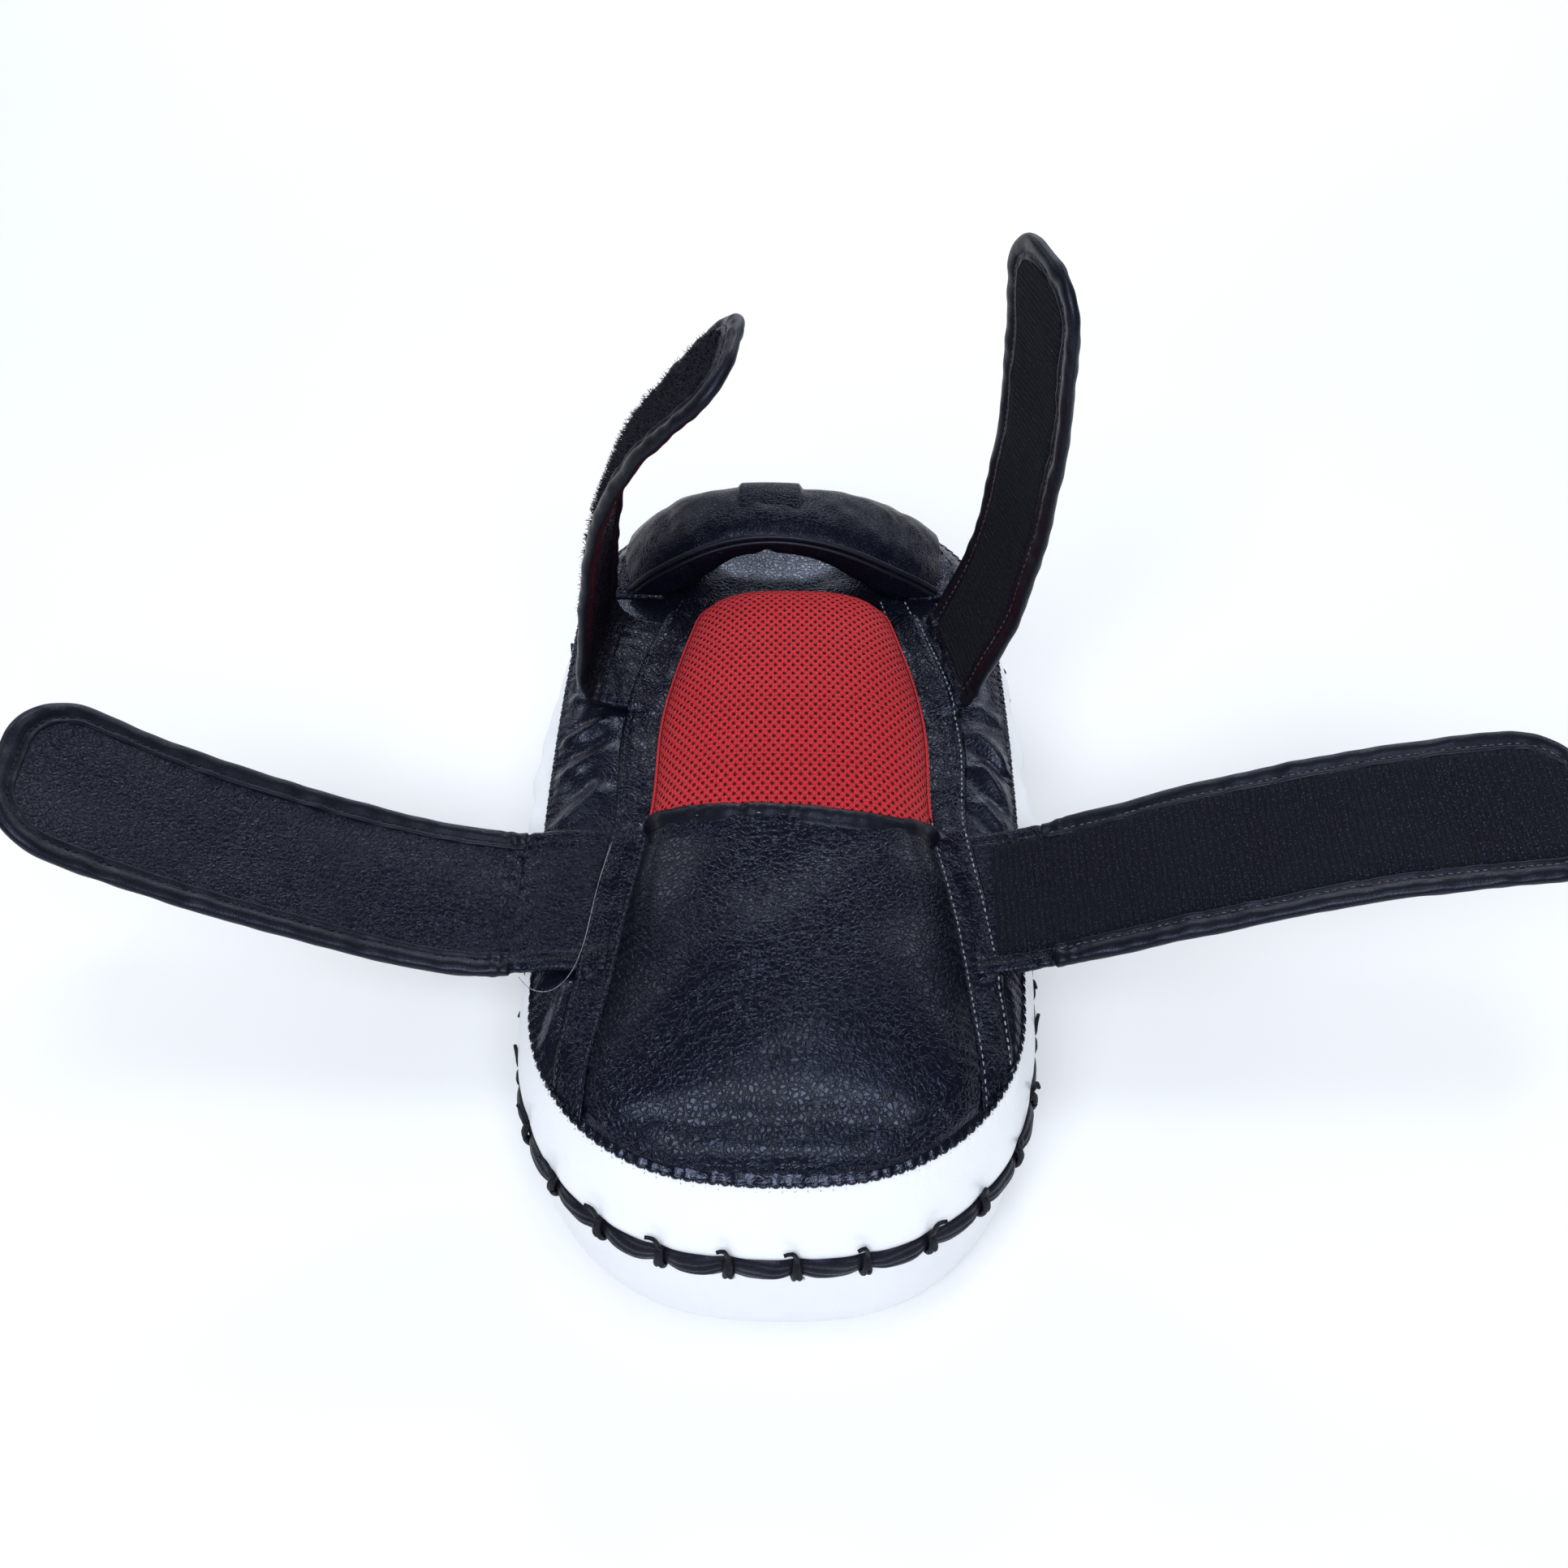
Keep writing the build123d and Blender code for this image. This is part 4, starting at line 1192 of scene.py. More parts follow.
@dataclass
class Cushion:
    """Domed forearm cushion: vinyl near half, red mesh far half, hem and side strips."""

    pad: PadBody
    base_z: float = 96.6
    join: tuple = (
        (-60.0, -19.0), (-53.5, -23.5), (-50.0, -27.6), (-45.0, -30.6), (-35.0, -32.6), (-25.0, -33.9),
        (-10.0, -34.5), (12.0, -35.8), (30.0, -37.4), (43.0, -37.1), (52.0, -35.1), (58.0, -31.7),
        (61.5, -27.0), (68.0, -22.0),
    )
    left: tuple = (
        (-182.0, -71.5), (-155.7, -69.5), (-135.0, -67.6), (-98.0, -62.0), (-76.8, -59.6), (-42.0, -54.6),
        (-21.0, -51.6), (24.0, -50.6), (57.0, -46.0), (90.0, -38.6), (112.0, -33.0),
    )
    right: tuple = (
        (-182.0, 77.0), (-160.0, 75.6), (-138.0, 74.6), (-116.0, 72.5), (-69.0, 67.4), (-42.0, 62.6),
        (-26.0, 60.0), (17.0, 59.2), (59.0, 53.4), (90.0, 45.6), (112.0, 40.0),
    )
    far_y: float = 105.0
    far_corner: float = 17.0
    far_start: float = 66.0
    profile: tuple = (
        (-184.0, 0.0), (-178.0, 0.15), (-172.0, 0.8), (-166.0, 2.6), (-159.0, 6.6), (-150.0, 12.6),
        (-138.0, 17.6),
        (-118.0, 21.4), (-90.0, 22.8), (-40.0, 22.6), (20.0, 22.9), (60.0, 22.0), (80.0, 20.6), (120.0, 20.0),
    )
    roll: tuple = (
        (-5.4, -0.5), (-4.8, 0.15), (-3.6, 0.3), (-2.6, 0.75), (-1.4, 1.25), (0.1, 1.4), (1.3, 1.0),
        (1.9, 0.2), (1.6, -0.7), (0.4, -1.2), (-2.5, -1.2), (-5.4, -0.9), (-5.4, -0.5),
    )
    strip_widths: tuple = (
        (-184.0, 10.4), (-150.0, 11.8), (-120.0, 13.0), (-60.0, 13.4), (-20.0, 15.2), (40.0, 17.0),
        (80.0, 15.6), (112.0, 12.4),
    )
    thread: tuple = (
        (-66.0, -37.0, 101.6), (-69.4, -56.0, 101.7), (-71.6, -76.0, 101.6), (-74.0, -92.0, 101.4),
        (-78.0, -101.0, 99.8), (-84.5, -105.5, 98.0), (-91.5, -104.0, 97.6), (-96.0, -99.6, 98.4),
    )
    def edges(self, y: Array) -> tuple:
        """Left and right edge of the dome at y."""
        return table_at(self.left, y), table_at(self.right, y)

    def crown(self, y: Array) -> Array:
        """Height of the dome's middle line over its base."""
        end = np.clip((y - self.far_start) / (self.far_y - self.far_start), 0.0, 1.0)
        return table_at(self.profile, y) * np.clip(1.0 - end**3.4, 0.0, 1.0) ** 0.55

    def dome(self, share: Array, y: Array) -> Array:
        """Height of the dome over its base, where share runs from -1 to 1 across."""
        boxy = ease((y + 112.0) / 60.0)
        side = np.clip(1.0 - np.abs(share) ** (2.3 + 0.7 * boxy), 0.0, 1.0) ** (0.78 - 0.22 * boxy)
        return self.crown(y) * side

    def far_half(self, y: Array) -> Array:
        """Share of the width left at the rounded far corners."""
        start = self.far_y - self.far_corner
        deep = np.clip((y - start) / self.far_corner, 0.0, 1.0)
        return self.far_corner * (1.0 - np.sqrt(np.clip(1.0 - deep * deep, 0.0, 1.0)))

    def forearm_cover(self) -> bpy.types.Object:
        """Black panel from the hem to the near seam."""
        even = np.linspace(-1.0, 1.0, 191)
        share = 0.55 * np.sin(even * math.pi / 2) + 0.45 * even
        side = 1 - np.abs(share)
        seam = OUTLINE.ring(14.6, 7.2, 2400)
        rows = []
        for step in np.linspace(0.0, 1.0, 231):
            x0, x1 = -56.0 - 13.0 * step, 63.5 + 11.0 * step
            x = x0 + (x1 - x0) * (share + 1) / 2
            left, right = self.edges(table_at(self.join, x) * (1 - step) + self.near_limit(x, seam) * step)
            x = (left + right) / 2 + (right - left) / 2 * share
            y = table_at(self.join, x) * (1 - step) + self.near_limit(x, seam) * step
            points = np.stack([x, y], axis=1)
            z = self.pad.back_height(x, y) + 0.25 + 0.55 * ease((1 - step) * 12) + self.dome(share, y)
            z = z + 1.3 * ease((0.1 - step) / 0.09)
            z = z + 0.5 * ripple(points, 48.0, 51) * ease(side * 4) * ease((1 - step) * 7)
            z = z - bell(y + 160.5 + 2.5 * ripple(points[:, :1], 40.0, 52), 4.0) * ease(side * 3)
            z = z + 0.8 * bell(y + 171.0, 3.6) * ease(side * 3)
            z = z + 0.45 * ripple(np.stack([y, y * 0.3], axis=1), 7.0, 53) * bell(side * 60, 7.0)
            z = z + 0.9 * bell(x + 50.0, 8.0) * bell(y + 60.0, 20.0)
            z = z - 1.4 * max(0.0, step - 0.985) / 0.015
            rows.append(np.column_stack([x, y, z]))
        piece = skin("forearm_cushion_panel", np.array(rows), outward=(0, 0, 1), wall=1.0)
        fit(piece, PANEL, "black_vinyl", "pad", "forearm_cushion_cover", "forearm_cushion_foam")
        return piece

    def hem(self) -> list:
        """Rolled hem of the vinyl over the start of the mesh, with its stitch row."""
        x = 3.9 + 58.4 * np.linspace(-1.0, 1.0, 160)
        y = table_at(self.join, x)
        left, right = self.edges(y)
        share = np.clip((x - (left + right) / 2) / ((right - left) / 2), -0.999, 0.999)
        line = np.column_stack([x, y, self.pad.back_height(x, y) + 2.1 + self.dome(share, y)])
        line[:, 2] += 0.25 * ripple(line[:, :1], 12.0, 61)
        run = unit(np.gradient(line, axis=0))
        over = unit(np.array([0.0, 1.0, 0.0]) - run * run[:, 1:2])
        face = np.cross(run, over)
        section = np.array(self.roll) * 1.25
        rough = 1.0 + 0.18 * ripple(line[:, :1], 6.0, 62)
        grid = line[:, None] + over[:, None] * section[None, :, :1]
        grid = grid + face[:, None] * section[None, :, 1:] * rough[:, None, None]
        piece = skin("cushion_hem_roll", close_ends(grid), subdivide=True)
        fit(piece, TRIM, "black_vinyl", "pad", "cushion_hem")
        stitches = Stitching("cushion_hem_stitches", 2.2, 3.0, 0.32)
        stitches.row(line + over * -3.3 + face * 0.45, face, 63)
        return [piece, fit(stitches.finish(), GREY_THREAD, "black_vinyl", "pad")]

    def mesh_point(self, a: Array, b: Array, lift: float = 0.0) -> tuple:
        """Point of the mesh half for pattern coordinates across and along.

        Args:
            a: distance across the cloth from its middle line.
            b: distance along the cloth from the hem.
            lift: height above the dome.

        Returns:
            Points, the share of the way to the side edge, and the cloth's whole length.
        """
        ends = np.linspace(-48.0, self.far_y, 500)
        top = self.crown(ends)
        run = run_along(np.column_stack([ends, top]))
        y = np.interp(b, run, ends)
        left, right = self.edges(y)
        half = (right - left) / 2 - self.far_half(y)
        crown = np.interp(y, ends, top)
        t = np.sin(np.linspace(0.0, 1.0, 200) * math.pi / 2)
        arc = run_along(np.column_stack([t * 54.0, np.clip(1.0 - t**3.0, 0.0, 1.0) ** 0.56 * 22.0]))
        whole = arc[-1] * half / 54.0 * (0.86 + 0.14 * crown / 22.0)
        f = a / np.maximum(whole, 1e-3)
        share = np.sign(f) * np.interp(np.minimum(np.abs(f), 1.0), arc / arc[-1], t)
        level = np.clip(1.0 - np.abs(share) ** 3.0, 0.0, 1.0) ** 0.56
        x = (left + right) / 2 + half * share
        tuck = ease((y - table_at(self.join, x) + 3.0) / 7.0)
        z = self.base_z + crown * level + lift * np.clip(level * 4, 0, 1) * tuck - 1.4 * (1 - tuck)
        return np.stack([x, y, z], axis=-1), f, run[-1]

    def mesh_cover(self) -> list:
        """Knitted spacer mesh with open cells over a backing painted darker as shade in the holes."""
        pitch_across, pitch_along = 3.7, 5.0
        length = self.mesh_point(np.zeros(1), np.zeros(1))[2]
        cells = int((130 / pitch_across + length / pitch_along)) + 4
        middle = cells * pitch_along / 2 - length / 2
        bm = bmesh.new()
        bmesh.ops.create_grid(bm, x_segments=cells, y_segments=cells, size=0.5)
        for vert in bm.verts:
            i, j = (vert.co.x + 0.5) * cells, (vert.co.y + 0.5) * cells
            vert.co = Vector(((i - j) * pitch_across / 2, (i + j) * pitch_along / 2 - middle, 0.0))
        centres = np.array([list(face.calc_center_median()) for face in bm.faces])
        seen, share, _ = self.mesh_point(centres[:, 0], np.clip(centres[:, 1], 0, length))
        keep = (np.abs(share) < 0.965) & (seen[:, 1] > table_at(self.join, seen[:, 0]) - 3.5)
        keep &= (centres[:, 1] > 1.0) & (centres[:, 1] < length - 2.5)
        outside = [face for face, kept in zip(list(bm.faces), keep) if not kept]
        bmesh.ops.delete(bm, geom=outside, context="FACES")
        inner = list(bm.faces)
        bmesh.ops.inset_individual(bm, faces=inner, thickness=0.58, depth=0.0, use_even_offset=True)
        for face in inner:
            for vert in face.verts:
                vert.co.z = -0.75
        bmesh.ops.delete(bm, geom=inner, context="FACES")
        flat = np.array([list(vert.co) for vert in bm.verts])
        spots = self.mesh_point(flat[:, 0], flat[:, 1], 1.5)[0]
        spots[:, 2] += flat[:, 2]
        layer = bm.loops.layers.uv.new("UVMap")
        bm.verts.ensure_lookup_table()
        bm.verts.index_update()
        for face in bm.faces:
            for loop in face.loops:
                loop[layer].uv = flat[loop.vert.index, :2] * MM
        for vert, spot in zip(bm.verts, spots):
            vert.co = Vector(spot) * MM
        bmesh.ops.recalc_face_normals(bm, faces=bm.faces)
        turn_out(bm, (0, 0, 1))
        net = new_piece("wrist_cushion_mesh_net", bm)
        smoothed(net)
        fit(net, MESH, "red_mesh", "pad", "wrist_cushion_cover", "wrist_cushion_foam")
        a, b = np.meshgrid(np.linspace(-1, 1, 121), np.linspace(0, length, 121))
        a = a * 40.0 / np.maximum(np.abs(self.mesh_point(a * 40.0, b)[1][:, -1:]), 1e-6)
        flat = np.stack([a, b], axis=-1)
        backing = skin(
            "wrist_cushion_mesh_backing", self.mesh_point(a, b)[0], flat, outward=(0, 0, 1), wall=0.8
        )
        return [net, fit(backing, MESH_SHADED_BACKING, "red_mesh", "pad"), *self.mesh_border(length)]

    def mesh_border(self, length: float) -> list:
        """Turned edge of the mesh with its seam line, down both sides."""
        b = np.linspace(25.0, length - 1.2, 150)
        whole = 30.0 / self.mesh_point(np.full(150, 30.0), b)[1]
        offsets = np.array([-5.0, -4.6, -3.9, -3.5, -3.0, -2.0, -1.0, -0.2])
        lifts = np.array([0.6, 1.5, 1.6, 1.2, 1.6, 1.4, 0.6, -0.8])
        flat = np.stack(np.meshgrid(offsets, b, indexing="ij"), axis=-1)
        pieces = []
        for side in Side:
            spots = self.mesh_point(side.value * (whole + flat[..., 0]), flat[..., 1])[0]
            grid = spots + np.array([side.value * 0.75, 0.0, 0.66]) * lifts[:, None, None]
            name, way = f"wrist_mesh_edge_{side.name.lower()}", (side.value, 0, 0.8)
            piece = skin(name, grid, flat, outward=way, wall=0.5, subdivide=True)
            pieces.append(fit(piece, MESH, "red_mesh", "pad"))
        return pieces

    def side_strip(self, side: Side) -> list:
        """Strip over the cushion's long edge, with two stitch rows."""
        name = side.name.lower()
        y = np.concatenate([np.linspace(106.5, -150.0, 330), np.linspace(-150.4, -178.0, 50)[1:]])
        inner = table_at(self.left if side is Side.LEFT else self.right, y)
        whole = table_at(self.strip_widths, y) + 1.4
        rows, flats = [], []
        ring = OUTLINE.ring(13.4, 6.0, 2400)
        for q in np.linspace(0.0, 1.0, 17):
            away = whole * q
            x = inner + side.value * (away - 1.4)
            low_y = np.maximum(y, self.near_limit(x, ring))
            body = 1.9 * ease(away / 1.6 + 0.35) * ease((whole - away) / 1.6 + 0.12)
            body = body + self.over_tab(low_y) * ease(q * 1.6 - 0.35)
            groove = 0.75 * bell(away - 1.7, 0.8) + 0.6 * bell(whole - away - 2.2, 0.8)
            points = np.stack([x, low_y], axis=1)
            wave = 0.25 * ripple(points, 19.0, 71 + side.value) + 0.1 * ripple(points, 7.0, 73 + side.value)
            tail = ease((low_y + 178.0) / 14.0)
            z = self.pad.back_height(x, low_y) + 0.2 + (body - groove) * (0.3 + 0.7 * tail)
            z = z + wave * ease(q * 6) * (0.4 + 0.6 * tail) + 1.2 * ease(1 - q * 6)
            rows.append(np.column_stack([x, low_y, z]))
            flats.append(np.column_stack([away, y]))
        grid = np.array(rows)
        piece = skin(f"side_strip_cover_{name}", grid, np.array(flats), outward=(0, 0, 1), wall=1.0)
        fit(piece, PANEL, "black_vinyl", "pad", f"side_strip_{name}")
        stitches = Stitching(f"side_strip_stitches_{name}", 1.9, 3.1, 0.4)
        face = normals_of(grid)
        face *= np.sign(face[..., 2:3])
        for row in (2, 14):
            stitches.row(grid[row][:372], face[row][:372], 75 + row)
        finish = DARK_STITCH if side is Side.LEFT else GREY_THREAD
        return [piece, fit(stitches.finish(), finish, "black_vinyl", "pad")]

    def loose_thread(self) -> bpy.types.Object:
        """Fine thread end left by the sewing, along the lower left tab and hanging in a loop."""
        piece = skin("loose_sewing_thread", tube_grid(curve_through(self.thread, 70), 0.15, 6))
        return fit(piece, GREY_THREAD, "edge_binding", "pad")

    @staticmethod
    def over_tab(y: Array) -> Array:
        """Height by which a strip passes over the strap tabs sewn under it."""
        total = np.zeros_like(y)
        for middle, width in ((LOWER_Y, LOWER_WIDTH), (UPPER_Y, UPPER_WIDTH)):
            total = total + 3.2 * ease((width / 2 + 2.5 - np.abs(y - middle)) / 4.0)
        return total

    @staticmethod
    def near_limit(x: Array, ring: Array) -> Array:
        """Lowest y inside a ring of points at each x."""
        low = ring[ring[:, 1] < 0]
        low = low[np.argsort(low[:, 0])]
        return np.interp(x, low[:, 0], low[:, 1])

    def build(self) -> list:
        """Every piece of the cushion."""
        strips = [*self.side_strip(Side.LEFT), *self.side_strip(Side.RIGHT)]
        return [self.forearm_cover(), *self.hem(), *self.mesh_cover(), *strips, self.loose_thread()]


# ---- hand grip ------------------------------------------------------------------------------
@dataclass
class HandGrip:
    """Padded arch with edge piping, a centre wrap and stitched anchor patches."""

    y: float = 130.0
    crown_x: float = -8.0
    anchor_z: float = 98.5
    foot_x: float = 60.0
    middle: tuple = (
        (-66.0, 97.0), (-60.0, 103.5), (-50.0, 111.2), (-36.0, 118.5), (-20.0, 122.9), (-8.0, 124.0),
        (8.0, 123.0), (26.0, 118.6), (42.0, 111.9), (56.0, 104.0), (64.0, 97.4),
    )
    half_width: tuple = (
        (-66.0, 21.5), (-50.0, 23.0), (-30.0, 20.5), (-8.0, 18.6), (14.0, 19.6), (34.0, 22.0), (50.0, 23.4),
        (64.0, 21.5),
    )
    over: tuple = ((-66.0, 9.0), (-50.0, 10.8), (-8.0, 10.6), (40.0, 10.6), (64.0, 9.0))
    under: tuple = (
        (-66.0, 14.0), (-48.0, 15.0), (-28.0, 8.2), (-8.0, 5.2), (12.0, 7.2), (34.0, 12.5), (50.0, 15.0),
        (64.0, 14.0),
    )
    wrap_half: float = 14.0

    def frames(self, count: int) -> tuple:
        """Middle line and its upward normals, in the plane across the pad."""
        line = curve_through(self.middle, count)
        run = unit(np.gradient(line, axis=0))
        return line, np.stack([-run[:, 1], run[:, 0]], axis=1)

    def surface(self, line: Array, up: Array, turn: Array, grow: float = 0.0) -> Array:
        """Grid of the padded section at each point of the line.

        Args:
            line: middle line (x, z).
            up: its normals.
            turn: angles round the section; 0 is the far edge, a quarter turn the top.
            grow: growth of the section all round.

        Returns:
            Grid for skin().
        """
        half, over, under = (
            (table_at(table, line[:, 0]) + grow)[:, None]
            for table in (self.half_width, self.over, self.under)
        )
        cos, sin = np.cos(turn), np.sin(turn)
        wide = np.sign(cos) * np.abs(cos) ** np.where(sin > 0, 0.84, 0.4)
        tall = (np.sign(sin) * np.abs(sin) ** np.where(sin > 0, 1.0, 0.75))[None]
        rise = np.where(tall > 0, over, under) * tall
        x, z = (line[:, d][:, None] + up[:, d][:, None] * rise for d in (0, 1))
        return np.stack([x, self.y + half * wide[None], z], axis=-1)

    def cover(self) -> bpy.types.Object:
        """Leather tube of the grip, closed at its feet."""
        line, up = self.frames(150)
        turn = np.linspace(0, 2 * math.pi, 97)
        x, lean = line[:, :1], (turn - 2.2)[None] * 3.0
        grid = self.surface(line, up, turn)
        wave = 0.45 * ripple(grid, 30.0, 81) + 0.18 * ripple(grid, 9.0, 82)
        wave = wave - 0.8 * (bell(x - 44.0 + lean, 3.0) + bell(x + 46.0 - lean, 3.2))
        out = unit(grid - np.column_stack([line[:, 0], np.full(len(line), self.y), line[:, 1]])[:, None])
        notch = 2.6 * bell(x + 8.5, 2.4) * bell(turn - 3.9, 0.55)[None]
        grid = grid + out * (wave - notch)[..., None]
        grid[:, -1] = grid[:, 0]
        grid[..., 2] = np.maximum(grid[..., 2], self.anchor_z + 0.7)
        piece = skin("hand_grip_cover", close_ends(grid), subdivide=True)
        fit(piece, GRIP_LEATHER, "black_vinyl", "", "grip_cover", "grip_foam", "grip_webbing")
        return self.flex(piece)

    def flex(self, piece: bpy.types.Object) -> bpy.types.Object:
        """Bakes the piece's transform into its mesh."""
        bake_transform(piece)
        return piece

    def piping(self) -> bpy.types.Object:
        """Double piping along the near upper shoulder."""
        line, up = self.frames(120)
        edge = self.surface(line, up, np.array([math.pi * 0.84, math.pi * 0.905]), 0.35)
        edge[..., 2] = np.maximum(edge[..., 2], self.anchor_z + 1.4)
        edge[..., 1] -= 0.25
        beads = [skin("bead", tube_grid(edge[:, k], radius, 10)) for k, radius in ((0, 1.35), (1, 1.1))]
        return self.flex(fit(gather("hand_grip_piping", beads), TRIM, "edge_binding", "", "grip_piping"))

    def wrap(self) -> bpy.types.Object:
        """Raised band round the middle of the grip, fading into its near face."""
        line, up = self.frames(400)
        off = np.abs(line[:, 0] - self.crown_x - 0.5)
        near = off < self.wrap_half + 1.0
        line, up, body = line[near], up[near], (off[near] / self.wrap_half)[:, None]
        turn = np.linspace(-0.62 * math.pi, math.pi * 0.66, 70)
        outer, inner = self.surface(line, up, turn, 1.4), self.surface(line, up, turn, -0.8)
        hump = np.clip(np.sin(turn), 0, 1) ** 2 * ease((turn + 0.2) / 1.2) * 1.8
        fade = ease((turn - turn[0]) / 0.25 + 0.1) * ease((turn[-1] - turn) / 1.25)
        share = ease((1.04 - body) / 0.24) * fade[None]
        grid = inner + (outer - inner) * share[..., None]
        grid[..., 2] += hump[None] * share
        piece = skin("hand_grip_centre_wrap", grid, outward=(0, 0, 1), wall=0.6)
        return fit(piece, GRIP_LEATHER, "black_vinyl", "grip", "grip_centre_wrap")

    def within(self, x: Array, y: Array, middle: float, inset: float = 0.0) -> tuple:
        """Points drawn in towards a foot until they are on the level part of the back."""
        ring = OUTLINE.ring(23.0 + inset, 15.0 + inset, 1440)
        dx, dy = ring[:, 0] - middle, ring[:, 1] - self.y
        angle = np.arctan2(dy, dx)
        order = np.argsort(angle)
        px, py = x - middle, y - self.y
        reach = np.hypot(px, py)
        limit = np.interp(np.arctan2(py, px), angle[order], np.hypot(dx, dy)[order])
        share = np.minimum(1.0, limit / np.maximum(reach, 1e-6))
        return middle + px * share, self.y + py * share

    def anchor(self, side: Side, pad: PadBody) -> list:
        """Patch under one foot, with a crossed box of stitches."""
        name, foot = side.name.lower(), side.value * self.foot_x
        low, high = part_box(f"grip_anchor_{name}")
        x0, y0, _ = np.array(low) / MM
        x1, y1, _ = np.array(high) / MM
        u, v = np.meshgrid(np.linspace(0, 1, 41), np.linspace(0, 1, 49))
        edge = np.minimum(np.minimum(u, 1 - u) * (x1 - x0), np.minimum(v, 1 - v) * (y1 - y0))
        x, y = self.within(x0 + (x1 - x0) * u, y0 + (y1 - y0) * v, foot)
        z = pad.back_height(x, y) + 2.6 * ease(edge / 2.6 + 0.1)
        z = z + 0.3 * ripple(np.stack([x, y], axis=-1), 14.0, 91) - 0.6 * bell(edge - 3.4, 1.0)
        grid = np.stack([x, y, z], axis=-1)
        piece = skin(f"grip_anchor_patch_{name}", grid, outward=(0, 0, 1), wall=0.8)
        fit(piece, PANEL, "black_vinyl", "pad", f"grip_anchor_{name}")
        stitches = Stitching(f"grip_anchor_stitches_{name}", 2.3, 3.0, 0.36)
        inset = 3.2
        x0, y0, x1, y1 = x0 + inset, y0 + inset, x1 - inset, y1 - inset
        corners = np.array([(x0, y0), (x1, y0), (x1, y1), (x0, y1)])
        for start, end in ((0, 1), (1, 2), (2, 3), (3, 0), (0, 2), (1, 3)):
            line = np.linspace(corners[start], corners[end], 40)
            x, y = self.within(line[:, 0], line[:, 1], foot, inset)
            line = np.column_stack([x, y, pad.back_height(x, y) + 2.15])
            stitches.row(line, np.tile([0.0, 0.0, 1.0], (40, 1)), 93)
        return [piece, fit(stitches.finish(), BLACK_THREAD, "black_vinyl", "pad")]

    def build(self, pad: PadBody) -> list:
        """Every piece of the grip and its anchors."""
        cover = self.cover()
        return [
            cover, self.piping(), self.wrap(), *self.anchor(Side.LEFT, pad), *self.anchor(Side.RIGHT, pad),
        ]


